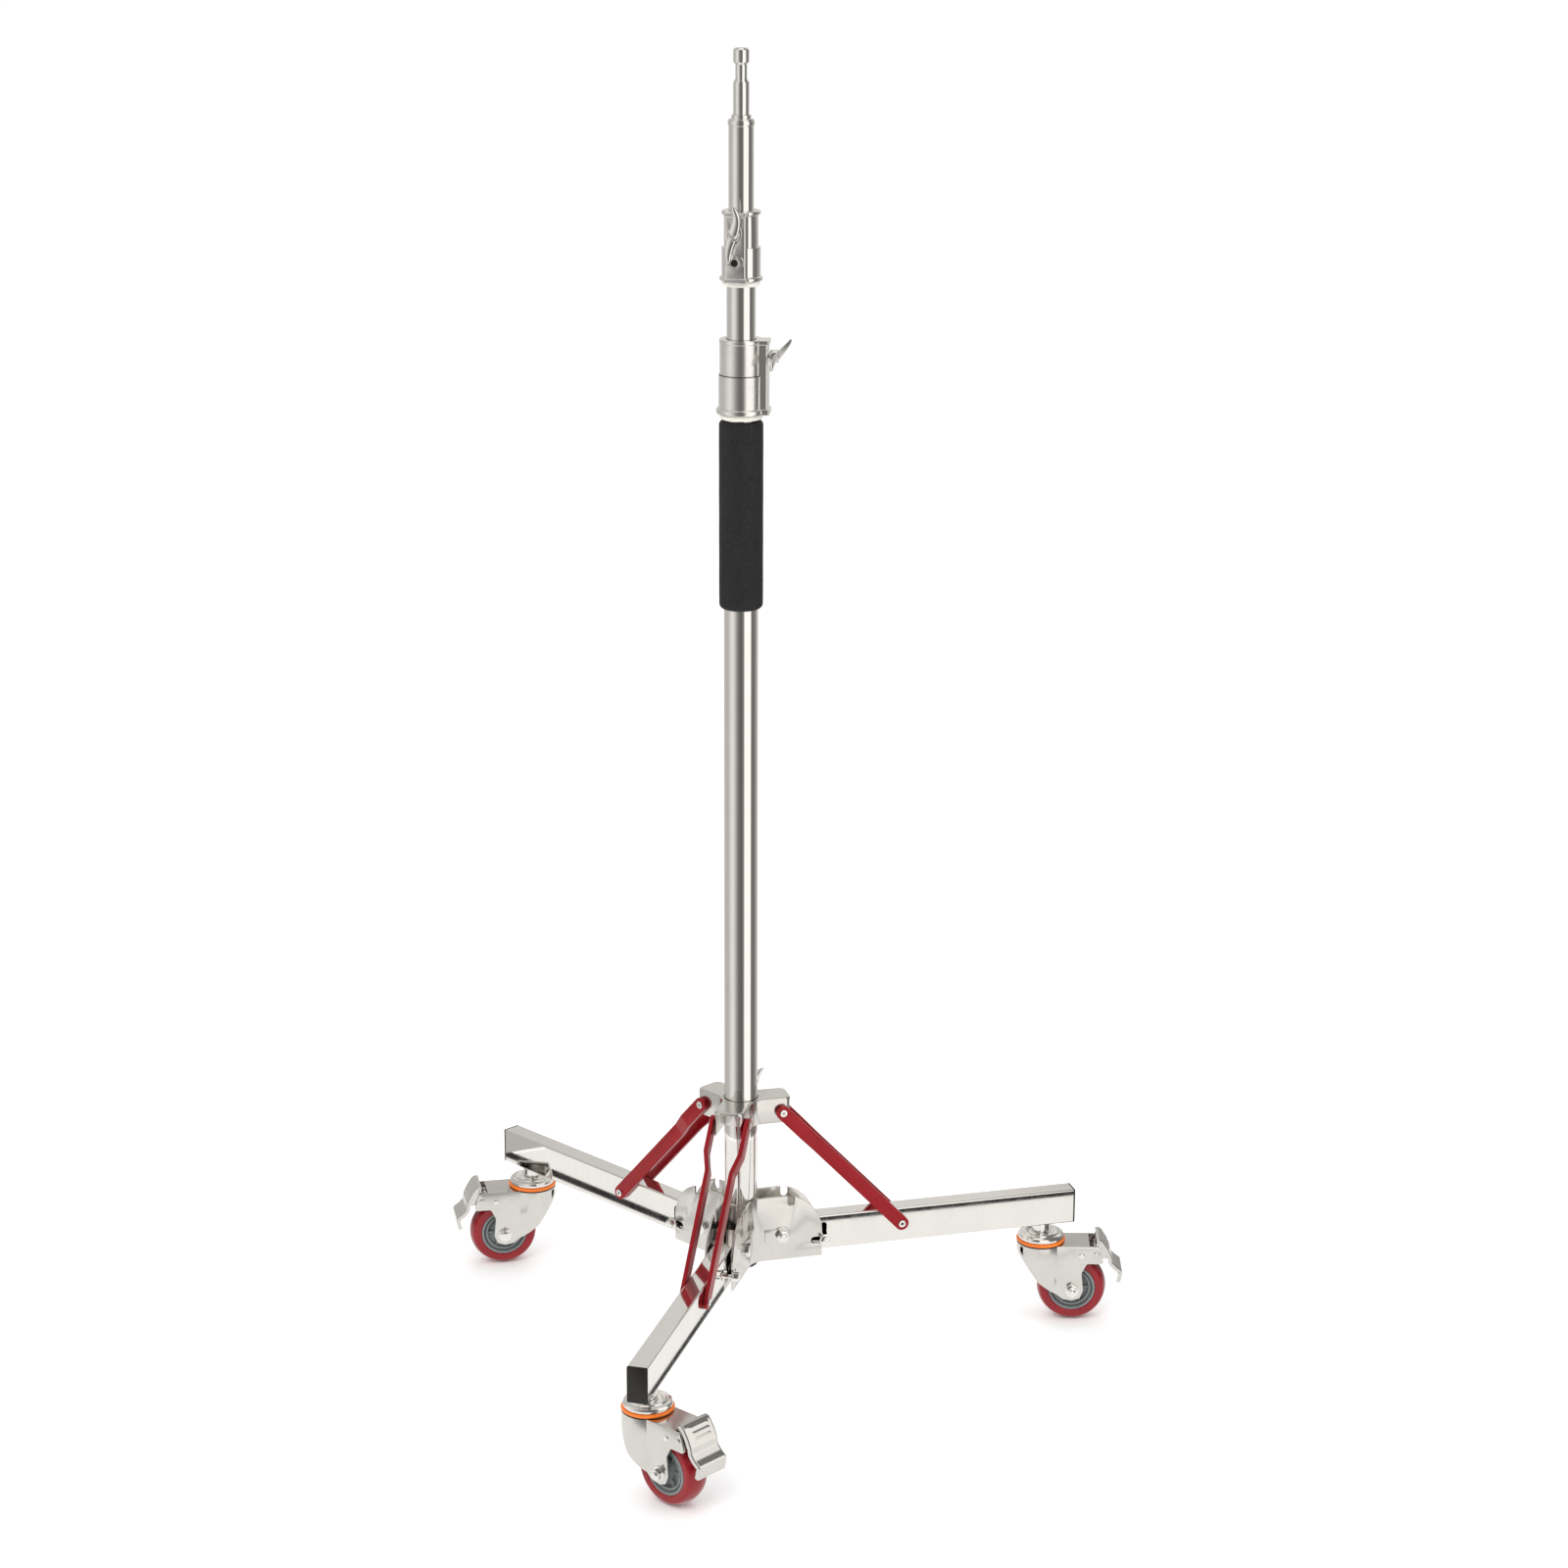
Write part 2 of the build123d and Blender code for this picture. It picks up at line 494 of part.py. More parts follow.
def fork():
    """Stamped fork: a round crown, side plates down to the axle and a box arm towards the brake."""
    axle_z = WHEEL_R
    half = FORK_HALF
    outline = polygon([(-26.0, FORK_TOP), (62.5, FORK_TOP), (69.0, 69.0), (50.0, 69.0), (44.5, 58.0),
                       (46.5, axle_z), (43.0, 28.5), (34.5, 25.5), (24.0, 27.5), (-3.0, 49.0),
                       (-26.0, 80.0)])
    outline = fillet(outline.vertices().filter_by_position(Axis.Y, 25, 70), 3.0)
    body = side_extrude(outline, -27, 27)
    plan = Circle(SEAL_R - 0.7) + slab_plan(0, 75, half)
    body = body & extrude(plan, amount=FORK_TOP)
    hollow = polygon([(-22.5, FORK_TOP - FORK_WALL), (80.0, FORK_TOP - FORK_WALL), (80.0, 10.0),
                      (21.0, 10.0), (-1.0, 51.5), (-22.5, 80.5)])
    inner = side_extrude(hollow, -half + FORK_WALL, half - FORK_WALL)
    body = body - inner - rod_y(WHEEL_R + 3, -half + FORK_WALL, half - FORK_WALL, TRAIL, axle_z)
    body = body - slab(52.8, 80, -half + FORK_WALL, half - FORK_WALL, 80, 95)
    rim = SEAL_R - 0.8
    crown = turned([(7, FORK_TOP - 1), (rim, FORK_TOP - 1), (rim, SEAL_LOW - 0.3), (rim - 0.9, SEAL_LOW),
                    (7, SEAL_LOW)])
    body = body + crown
    body = body - rod_z(KINGPIN_R + RUN, 70, 100) - rod_y(AXLE_R, -40, 40, TRAIL, axle_z)
    return body - rod_y(2.5, -40, 40, *PEDAL_PIVOT)


def slab_plan(x0, x1, half):
    return Pos((x0 + x1) / 2, 0) * Rectangle(x1 - x0, 2 * half)


def wheel_tyre():
    """Crowned tyre."""
    half = WHEEL_W / 2
    crown = ThreePointArc((-half + 1.5, WHEEL_R - 3.2), (0, WHEEL_R), (half - 1.5, WHEEL_R - 3.2))
    rest = Polyline(crown @ 1, (half, WHEEL_R - 6), (half - 1.0, CORE_R), (-half + 1.0, CORE_R),
                    (-half, WHEEL_R - 6), crown @ 0)
    return wheel_turn(make_face(crown + rest))


def wheel_turn(section):
    """Turn a section drawn as (across the wheel, radius) about the axle."""
    solid = revolve(section, Axis.X)
    return Pos(TRAIL, 0, WHEEL_R) * Rot(0, 0, 90) * solid


def wheel_core():
    """Grey core: rim, dished web and hub with its bore."""
    half = WHEEL_W / 2
    side = [(half - 1.0, CORE_R), (half - 0.4, CORE_R - 3), (half - 3, CORE_R - 6), (half - 7, 14),
            (half - 6, 11), (half + 2.8, 10), (half + 2.8, AXLE_R + RUN)]
    return wheel_turn(polygon(side + [(-across, radius) for across, radius in reversed(side)]))


def axle_bolt():
    half = FORK_HALF
    bolt = rod_y(AXLE_R, -half - 7.5, half + 2, TRAIL, WHEEL_R)
    bolt = bolt + rod_y(7.0, half, half + 1.2, TRAIL, WHEEL_R)
    bolt = bolt + rod_y(7.0, -half - 1.2, -half, TRAIL, WHEEL_R)
    bolt = bolt + hex_y(11.0, half + 1.2, half + 5.5, TRAIL, WHEEL_R)
    return bolt + hex_y(11.0, -half - 6.0, -half - 1.2, TRAIL, WHEEL_R)


def brake_pedal():
    """Pressed pedal on its cross pin, with the rubber pad that it drives onto the tyre."""
    outer = [(59.5, 96.5), (63.5, 98.5), (67.5, 95.5), (73.5, 87.0), (77.5, 78.0), (78.8, 71.0),
             (83.0, 66.5), (89.5, 62.0), (89.8, 58.0), (87.5, 47.5)]
    inner = [(84.8, 46.8), (85.6, 58.5), (81.0, 62.5), (76.5, 67.5), (74.8, 76.5), (71.0, 85.0),
             (65.0, 93.5), (61.0, 94.0)]
    half = FORK_HALF - 0.5
    plate = side_extrude(polygon(outer + inner), -half, half)
    web = polygon([(61.5, 94.5), (66.0, 94.0), (74.5, 79.0), (72.0, 74.0), (61.0, 75.5), (56.5, 79.0),
                   (57.5, 86.0)])
    cheek_y = FORK_HALF - FORK_WALL - FACE_GAP
    cheeks = side_extrude(web, cheek_y - 2.0, cheek_y) + side_extrude(web, -cheek_y, -cheek_y + 2.0)
    holder = slab(57.0, 72.0, -11, 11, 74.0, 76.0)
    holder = holder + slab(60.0, 72.0, -cheek_y + 1, cheek_y - 1, 76.0, 78.0)
    pin = rod_y(2.5 - RUN, -FORK_HALF - 0.8, FORK_HALF + 0.8, *PEDAL_PIVOT)
    clear = slab(50, 71.5, -30, 30, 60, 91.5) - slab(50, 80, -cheek_y, cheek_y, 60, 95)
    pedal = plate + cheeks + holder - clear + pin
    pad = slab(56.5, 66.0, -10.5, 10.5, 69.2, 74.0)
    return together(pedal, pad)


def caster_parts():
    parts = {}
    for name in LEG_NAMES:
        seal = rounded_ring(SEAL_R, 20.0, SEAL_LOW, SEAL_HIGH, 1.5)
        parts[f"caster_{name}_stem"] = on_caster(caster_stem(), name)
        parts[f"caster_{name}_seal"] = on_caster(seal, name)
        parts[f"caster_{name}_fork"] = on_caster(fork(), name)
        parts[f"caster_{name}_tyre"] = on_caster(wheel_tyre(), name)
        parts[f"caster_{name}_core"] = on_caster(wheel_core(), name)
        parts[f"caster_{name}_axle"] = on_caster(axle_bolt(), name)
        parts[f"caster_{name}_pedal"] = on_caster(brake_pedal(), name)
    return parts


# ---------------------------------------------------------------- write every node

os.makedirs("parts", exist_ok=True)
NODES = {}
for group in (column_parts, riser_parts, stud_parts, collar_parts, lever_parts, hub_parts, leg_parts,
              brace_parts, spider_parts, caster_parts):
    NODES.update(group())
for node_name, node_shape in NODES.items():
    export_step(node_shape, f"parts/{node_name}.step")
print(len(NODES), "nodes written")
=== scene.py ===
"""Finish of a rolling, folding-base stainless light stand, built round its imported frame.

Lengths inside the classes are millimetres; a Form turns them into metres when it is placed.
"""

import json
import logging
import math
from dataclasses import dataclass, field
from enum import Enum
from typing import Sequence

import bmesh
import bpy
from mathutils import Matrix, Vector


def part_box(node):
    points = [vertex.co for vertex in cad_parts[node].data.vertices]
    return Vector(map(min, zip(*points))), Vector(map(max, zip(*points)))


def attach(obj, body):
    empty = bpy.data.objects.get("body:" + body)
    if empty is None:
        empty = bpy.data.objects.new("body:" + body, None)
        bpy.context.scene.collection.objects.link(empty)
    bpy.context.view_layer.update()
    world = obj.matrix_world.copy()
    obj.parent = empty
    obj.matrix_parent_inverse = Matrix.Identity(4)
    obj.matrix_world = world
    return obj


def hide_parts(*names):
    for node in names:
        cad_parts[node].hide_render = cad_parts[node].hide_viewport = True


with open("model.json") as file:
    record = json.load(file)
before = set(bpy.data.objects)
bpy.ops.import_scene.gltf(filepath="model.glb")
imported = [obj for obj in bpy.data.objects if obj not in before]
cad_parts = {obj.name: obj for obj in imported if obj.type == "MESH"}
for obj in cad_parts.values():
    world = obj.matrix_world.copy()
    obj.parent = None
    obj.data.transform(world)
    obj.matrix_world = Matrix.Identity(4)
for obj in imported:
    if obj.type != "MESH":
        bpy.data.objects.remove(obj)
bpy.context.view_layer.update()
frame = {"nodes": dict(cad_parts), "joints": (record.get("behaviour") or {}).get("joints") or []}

MM = 0.001
FULL_TURN = 2 * math.pi
QUARTER_TURN = math.radians(90)
SMOOTH_BELOW = math.radians(38)
LEGS = ("a", "b", "c")
LOG = logging.getLogger("light_stand")
Point = tuple[float, float]


class Slot(Enum):
    """Finishes that the record names for the stand."""

    POLISHED = "polished_steel"
    CAST = "cast_steel"
    PRESSED = "pressed_steel"
    PLATED = "plated_fastener"
    RED_BAR = "red_anodised"
    FOAM = "black_foam"
    BLACK = "black_plastic"
    NYLON = "white_nylon"
    SEAL = "orange_seal"
    TYRE = "red_tyre"
    CORE = "grey_core"


# ---------------------------------------------------------------- shader graphs


class Wire:
    """A node's output that takes part in plain arithmetic; each operation adds a Math node."""

    def __init__(self, graph: "Graph", socket: bpy.types.NodeSocket) -> None:
        """Wrap a socket of a graph."""
        self.graph = graph
        self.socket = socket

    def _math(self, operation: str, first: "Wire | float", second: "Wire | float") -> "Wire":
        """Add one Math node on two values."""
        return self.graph.node("ShaderNodeMath", {"operation": operation}, {0: first, 1: second})

    def __add__(self, other: "Wire | float") -> "Wire":
        """Sum."""
        return self._math("ADD", self, other)

    __radd__ = __add__

    def __mul__(self, other: "Wire | float") -> "Wire":
        """Product."""
        return self._math("MULTIPLY", self, other)

    __rmul__ = __mul__


class Graph:
    """The node tree of one material, with a Principled surface."""

    def __init__(self, name: str, colour: Sequence[float], roughness: float, metallic: float) -> None:
        """Start a material.

        Args:
            name: the material's name.
            colour: base colour, linear red, green and blue.
            roughness: starting roughness.
            metallic: 1 for bare metal, 0 otherwise.
        """
        self.material = bpy.data.materials.new(name)
        self.material.use_nodes = True
        self.tree = self.material.node_tree
        self.surface = self.tree.nodes["Principled BSDF"]
        self.surface.inputs["Base Color"].default_value = (*colour, 1.0)
        self.surface.inputs["Roughness"].default_value = roughness
        self.surface.inputs["Metallic"].default_value = metallic

    def node(self, kind: str, settings: dict[str, object], inputs: dict[int | str, object],
             output: int | str = 0) -> Wire:
        """Add a node.

        Args:
            kind: the node's type.
            settings: properties set on the node first; "stops" fills a colour ramp.
            inputs: a value, or a wire to link, for each named or numbered socket.
            output: the output that the wire carries.

        Returns:
            The chosen output.
        """
        made = self.tree.nodes.new(kind)
        for key, value in settings.items():
            if key == "stops":
                self._fill_ramp(made.color_ramp, value)
            else:
                setattr(made, key, value)
        for key, value in inputs.items():
            if isinstance(value, Wire):
                self.tree.links.new(value.socket, made.inputs[key])
            else:
                made.inputs[key].default_value = value
        return Wire(self, made.outputs[output])

    @staticmethod
    def _fill_ramp(ramp: bpy.types.ColorRamp, stops: Sequence[tuple[float, float]]) -> None:
        """Give a ramp its grey stops.

        Args:
            ramp: the ramp.
            stops: each stop's place and value.
        """
        while len(ramp.elements) < len(stops):
            ramp.elements.new(0.5)
        for element, (place, value) in zip(ramp.elements, stops):
            element.position = place
            element.color = (value, value, value, 1.0)

    def place(self, stretch: Sequence[float] = (1.0, 1.0, 1.0)) -> Wire:
        """Object coordinates, stretched along each axis."""
        where = self.node("ShaderNodeTexCoord", {}, {}, "Object")
        return self.node("ShaderNodeMapping", {}, {"Vector": where, "Scale": tuple(stretch)})

    def noise(self, scale: float, detail: float = 3.0,
              stretch: Sequence[float] = (1.0, 1.0, 1.0)) -> Wire:
        """Noise from 0 to 1, scale in waves per metre."""
        return self.node("ShaderNodeTexNoise", {},
                         {"Vector": self.place(stretch), "Scale": scale, "Detail": detail,
                          "Roughness": 0.6})

    def spread(self, value: Wire, low: float, high: float) -> Wire:
        """Stretch a noise's middle to the range from low to high, and clamp the rest."""
        return self.node("ShaderNodeMapRange", {"clamp": True},
                         {"Value": value, "From Min": 0.3, "From Max": 0.7, "To Min": low,
                          "To Max": high})

    def blend(self, share: Wire, first: Sequence[float], second: Sequence[float]) -> Wire:
        """Mix two colours by a share."""
        return self.node("ShaderNodeMix", {"data_type": "RGBA"},
                         {0: share, 6: (*first, 1.0), 7: (*second, 1.0)}, 2)

    def drive(self, name: str, value: Wire) -> None:
        """Link a wire to one of the surface's inputs."""
        self.tree.links.new(value.socket, self.surface.inputs[name])

    def relief(self, height: Wire, depth_mm: float, strength: float = 1.0) -> None:
        """Bump the surface by a height field.

        Args:
            height: the field, 0 to 1.
            depth_mm: relief of the field's full range.
            strength: share of the bump that shows.
        """
        self.drive("Normal", self.node("ShaderNodeBump", {},
                                       {"Strength": strength, "Distance": depth_mm * MM,
                                        "Height": height}))


# ---------------------------------------------------------------- finishes


@dataclass(frozen=True)
class Metal:
    """Bare metal: a tint, grain and faint handling marks.

    grain and marks are in waves per metre, and stretch draws the grain out along an axis, as
    polishing or rolling does. relief is the share of the grain's depth that shows.
    """

    name: str
    tint: tuple[float, float, float]
    shade: tuple[float, float, float]
    polish: tuple[float, float]
    grain: float
    depth_mm: float
    stretch: tuple[float, float, float] = (1.0, 1.0, 1.0)
    relief: float = 1.0
    marks: float = 38.0

    def material(self) -> bpy.types.Material:
        """Make the metal's material.

        Returns:
            The material.
        """
        graph = Graph(self.name, self.tint, self.polish[0], 1.0)
        grain = graph.noise(self.grain, 4.0, self.stretch)
        marks = graph.noise(self.marks, 3.0)
        stain = graph.spread(marks, 0.0, 1.0)
        graph.drive("Base Color", graph.blend(stain * 0.55 + grain * 0.45, self.tint, self.shade))
        low, high = self.polish
        graph.drive("Roughness", graph.spread(grain * 0.6 + marks * 0.4, low, high))
        graph.relief(grain, self.depth_mm, self.relief)
        return graph.material


@dataclass(frozen=True)
class Coated:
    """Anodised or painted metal: a saturated colour under a thin clear coat."""

    name: str
    colour: tuple[float, float, float]
    deep: tuple[float, float, float]
    metallic: float
    polish: tuple[float, float]
    coat: float = 0.12
    coat_roughness: float = 0.16

    def material(self) -> bpy.types.Material:
        """Make the coated metal's material.

        Returns:
            The material.
        """
        graph = Graph(self.name, self.colour, self.polish[0], self.metallic)
        graph.surface.inputs["Coat Weight"].default_value = self.coat
        graph.surface.inputs["Coat Roughness"].default_value = self.coat_roughness
        fine, broad = graph.noise(1600.0, 3.0), graph.noise(30.0, 2.0)
        graph.drive("Base Color", graph.blend(graph.spread(broad * 0.7 + fine * 0.3, 0.0, 1.0),
                                              self.colour, self.deep))
        graph.drive("Roughness", graph.spread(fine, *self.polish))
        graph.relief(fine, 0.012, 0.6)
        return graph.material


@dataclass(frozen=True)
class Moulded:
    """Plastic or rubber as it leaves its mould: a fine grain, slight changes of shade and gloss."""

    name: str
    colour: tuple[float, float, float]
    shade: tuple[float, float, float]
    polish: tuple[float, float]
    grain: float
    depth_mm: float

    def material(self) -> bpy.types.Material:
        """Make the moulded material.

        Returns:
            The material.
        """
        graph = Graph(self.name, self.colour, self.polish[0], 0.0)
        grain, broad = graph.noise(self.grain, 3.0), graph.noise(45.0, 3.0)
        graph.drive("Base Color", graph.blend(graph.spread(broad, 0.0, 1.0), self.colour, self.shade))
        graph.drive("Roughness", graph.spread(broad * 0.5 + grain * 0.5, *self.polish))
        graph.relief(grain, self.depth_mm)
        return graph.material


@dataclass(frozen=True)
class Foam:
    """Closed-cell foam: tight round cells with pale rims on black."""

    name: str
    colour: tuple[float, float, float]
    rim: tuple[float, float, float]
    cells: float

    def material(self) -> bpy.types.Material:
        """Make the foam's material.

        Returns:
            The material.
        """
        graph = Graph(self.name, self.colour, 0.78, 0.0)
        cell = graph.node("ShaderNodeTexVoronoi", {"feature": "F1"},
                          {"Vector": graph.place(), "Scale": self.cells, "Randomness": 1.0})
        soft = graph.noise(self.cells * 0.45, 4.0)
        skin = graph.noise(60.0, 3.0)
        graph.drive("Base Color", graph.blend(graph.spread(cell * 0.6 + skin * 0.4, 0.0, 1.0),
                                              self.colour, self.rim))
        graph.drive("Roughness", graph.spread(soft, 0.62, 0.86))
        graph.relief(cell * 0.7 + soft * 0.3, 0.16, 0.8)
        return graph.material


FINISHES = {
    Slot.POLISHED: Metal("polished_steel", (0.91, 0.895, 0.87), (0.85, 0.835, 0.81),
                         (0.02, 0.055), 420.0, 0.0015, (1.0, 1.0, 0.04), 0.3),
    Slot.CAST: Metal("cast_steel", (0.96, 0.945, 0.92), (0.82, 0.805, 0.78),
                     (0.14, 0.28), 950.0, 0.055),
    Slot.PRESSED: Metal("pressed_steel", (0.77, 0.755, 0.73), (0.69, 0.675, 0.65),
                        (0.13, 0.23), 700.0, 0.005),
    Slot.PLATED: Metal("plated_steel", (0.92, 0.91, 0.89), (0.85, 0.84, 0.82),
                       (0.045, 0.10), 500.0, 0.0025),
    Slot.RED_BAR: Coated("red_anodised", (0.33, 0.004, 0.011), (0.26, 0.003, 0.008),
                         0.55, (0.26, 0.36)),
    Slot.FOAM: Foam("black_foam", (0.005, 0.005, 0.006), (0.014, 0.014, 0.015), 900.0),
    Slot.BLACK: Moulded("black_plastic", (0.008, 0.006, 0.004), (0.013, 0.010, 0.007),
                        (0.42, 0.56), 1400.0, 0.02),
    Slot.NYLON: Moulded("white_nylon", (0.80, 0.78, 0.72), (0.70, 0.68, 0.61),
                        (0.34, 0.46), 900.0, 0.01),
    Slot.SEAL: Moulded("orange_seal", (0.86, 0.20, 0.015), (0.74, 0.15, 0.010),
                       (0.28, 0.40), 900.0, 0.01),
    Slot.TYRE: Moulded("red_tyre", (0.27, 0.003, 0.010), (0.22, 0.002, 0.008),
                       (0.20, 0.32), 1100.0, 0.014),
    Slot.CORE: Moulded("grey_core", (0.21, 0.225, 0.225), (0.165, 0.178, 0.178),
                       (0.30, 0.42), 1100.0, 0.014),
}


class Paint:
    """Makes each finish once and hands it out."""

    def __init__(self) -> None:
        """Start with no materials made."""
        self._made: dict[Slot, bpy.types.Material] = {}

    def of(self, slot: Slot) -> bpy.types.Material:
        """Look up a finish, making it the first time.

        Args:
            slot: the finish's slot.

        Returns:
            Its material.
        """
        if slot not in self._made:
            self._made[slot] = FINISHES[slot].material()
        return self._made[slot]

    def dress(self, node: str, slot: Slot) -> None:
        """Give a frame node its finish, leaving its mesh alone."""
        for held in frame["nodes"][node].material_slots:
            held.material = self.of(slot)


PAINT = Paint()


# ---------------------------------------------------------------- mesh forms


def rounded_line(points: Sequence[Point], radius: float, steps: int = 4,
                 closed: bool = False) -> list[Point]:
    """Round the corners of a line with arcs.

    Args:
        points: the line's corners.
        radius: wanted arc radius; a short side gets a smaller one.
        steps: straight spans in each arc.
        closed: whether the line returns to its start.

    Returns:
        The line with each corner replaced by its arc.
    """
    line: list[Point] = []
    count = len(points)
    for index, (x, y) in enumerate(points):
        if not closed and index in (0, count - 1):
            line.append((x, y))
            continue
        corner = Vector((x, y))
        before = Vector(points[index - 1]) - corner
        after = Vector(points[(index + 1) % count]) - corner
        half = before.angle(after) / 2
        if half > math.radians(88):
            line.append((x, y))
            continue
        reach = min(radius / math.tan(half), 0.45 * before.length, 0.45 * after.length)
        arc_radius = reach * math.tan(half)
        start = corner + before.normalized() * reach
        middle = (before.normalized() + after.normalized()).normalized()
        centre = corner + middle * (arc_radius / math.sin(half))
        sweep = (start - centre).angle_signed(corner + after.normalized() * reach - centre)
        for step in range(steps + 1):
            turn = Matrix.Rotation(-sweep * step / steps, 2)
            spot = centre + turn @ (start - centre)
            line.append((spot.x, spot.y))
    return line


class Form:
    """A mesh in the making, in millimetres."""

    def __init__(self) -> None:
        """Start empty."""
        self.bm = bmesh.new()

    @classmethod
    def lathe(cls, profile: Sequence[Point], steps: int = 72, closed: bool = True) -> "Form":
        """Spin a profile about Z.

        Args:
            profile: points as (radius, height).
            steps: divisions round the turn.
            closed: whether the profile is a loop.

        Returns:
            The turned form.
        """
        form = cls()
        verts = [form.bm.verts.new((radius, 0.0, height)) for radius, height in profile]
        spans = list(zip(verts, verts[1:])) + ([(verts[-1], verts[0])] if closed else [])
        edges = [form.bm.edges.new(span) for span in spans]
        bmesh.ops.spin(form.bm, geom=verts + edges, axis=(0, 0, 1), cent=(0, 0, 0), dvec=(0, 0, 0),
                       angle=FULL_TURN, steps=steps, use_merge=True, use_duplicate=False)
        return form.clean()

    @classmethod
    def block(cls, low: Sequence[float], high: Sequence[float]) -> "Form":
        """Make a box.

        Args:
            low: its corner with the least coordinates.
            high: its corner with the greatest.

        Returns:
            The box.
        """
        form = cls()
        size = Vector(high) - Vector(low)
        middle = Matrix.Translation((Vector(low) + Vector(high)) / 2)
        bmesh.ops.create_cube(form.bm, size=1.0)
        bmesh.ops.transform(form.bm, verts=form.bm.verts, matrix=middle @ Matrix.Diagonal((*size, 1)))
        return form

    @classmethod
    def hexagon(cls, across: float, height: float, chamfer: float) -> "Form":
        """A hexagonal head that stands on z = 0, its top edge chamfered.

        Args:
            across: size across the flats.
            height: height of the head.
            chamfer: width of the chamfer.

        Returns:
            The head.
        """
        form = cls()
        radius = across / math.sqrt(3)
        bmesh.ops.create_cone(form.bm, cap_ends=True, segments=6, radius1=radius, radius2=radius,
                              depth=height)
        bmesh.ops.translate(form.bm, verts=form.bm.verts, vec=(0, 0, height / 2))
        top = [f for f in form.bm.faces if f.normal.z > 0.9]
        bmesh.ops.inset_region(form.bm, faces=top, thickness=chamfer, depth=chamfer * 0.45)
        upright = [e for e in form.bm.edges if abs(e.verts[0].co.z - e.verts[1].co.z) > height * 0.5]
        form._bevel(upright, 0.25, 2)
        return form

    @classmethod
    def outline(cls, points: Sequence[Point], low: float, high: float) -> "Form":
        """Raise an outline into a plate.

        Args:
            points: the outline as (x, z).
            low: Y of the face that is drawn.
            high: Y of the raised face.

        Returns:
            The plate.
        """
        form = cls()
        face = form.bm.faces.new([form.bm.verts.new((x, low, z)) for x, z in points])
        raised = bmesh.ops.extrude_face_region(form.bm, geom=[face])
        moved = [item for item in raised["geom"] if isinstance(item, bmesh.types.BMVert)]
        bmesh.ops.translate(form.bm, verts=moved, vec=(0, high - low, 0))
        return form.clean()

    @classmethod
    def skin(cls, rings: Sequence[Sequence[Vector]]) -> "Form":
        """Bridge a row of rings into a closed skin.

        Args:
            rings: rings of points, all with as many.

        Returns:
            The skin with its two ends filled.
        """
        form = cls()
        loops = []
        for ring in rings:
            verts = [form.bm.verts.new(point) for point in ring]
            loops.append([form.bm.edges.new(pair) for pair in zip(verts, verts[1:] + verts[:1])])
        for first, second in zip(loops, loops[1:]):
            bmesh.ops.bridge_loops(form.bm, edges=first + second)
        bmesh.ops.holes_fill(form.bm, edges=loops[0] + loops[-1])
        return form.clean()

    @classmethod
    def of_node(cls, node: str) -> "Form":
        """Copy a frame node.

        Args:
            node: the node's name.

        Returns:
            Its mesh, merged, with each flat region made one face.
        """
        form = cls()
        form.bm.from_mesh(frame["nodes"][node].data)
        bmesh.ops.scale(form.bm, verts=form.bm.verts, vec=(1 / MM,) * 3)
        bmesh.ops.remove_doubles(form.bm, verts=form.bm.verts, dist=0.003)
        bmesh.ops.dissolve_limit(form.bm, angle_limit=math.radians(0.4), verts=form.bm.verts,
                                 edges=form.bm.edges)
        return form

    def clean(self) -> "Form":
        """Merge doubles and turn every face outwards.

        Returns:
            This form.
        """
        bmesh.ops.remove_doubles(self.bm, verts=self.bm.verts, dist=1e-4)
        bmesh.ops.recalc_face_normals(self.bm, faces=self.bm.faces)
        return self

    def _bevel(self, edges: list[bmesh.types.BMEdge], width: float, segments: int) -> None:
        """Round a set of edges."""
        bmesh.ops.bevel(self.bm, geom=edges, offset=width, offset_type="OFFSET", segments=segments,
                        profile=0.5, affect="EDGES", clamp_overlap=True, material=-1)

    def soften(self, width: float, segments: int = 3, angle: float = 32.0) -> "Form":
        """Round every edge that is sharper than an angle.

        Args:
            width: width of the rounding.
            segments: faces across it.
            angle: least angle in degrees between the two faces of a rounded edge.

        Returns:
            This form.
        """
        limit = math.radians(angle)
        sharp = [e for e in self.bm.edges
                 if len(e.link_faces) == 2 and e.calc_face_angle(0.0) > limit]
        if sharp:
            self._bevel(sharp, width, segments)
        return self

    def move(self, matrix: Matrix) -> "Form":
        """Transform the form.

        Args:
            matrix: the transform, which may mirror.

        Returns:
            This form, facing outwards.
        """
        bmesh.ops.transform(self.bm, matrix=matrix, verts=self.bm.verts)
        if matrix.determinant() < 0:
            bmesh.ops.reverse_faces(self.bm, faces=self.bm.faces)
        return self

    def add(self, other: "Form") -> "Form":
        """Take in another form.

        Args:
            other: the form, which is used up.

        Returns:
            This form.
        """
        held = bpy.data.meshes.new("held")
        other.bm.to_mesh(held)
        self.bm.from_mesh(held)
        bpy.data.meshes.remove(held)
        other.bm.free()
        return self

    def copy(self) -> "Form":
        """Copy the form.

        Returns:
            A second form with the same mesh.
        """
        twin = Form()
        twin.bm.free()
        twin.bm = self.bm.copy()
        return twin

    def mirrored(self) -> "Form":
        """This form with its mirror image across Y = 0."""
        return self.add(self.copy().move(Matrix.Scale(-1, 4, (0, 1, 0))))

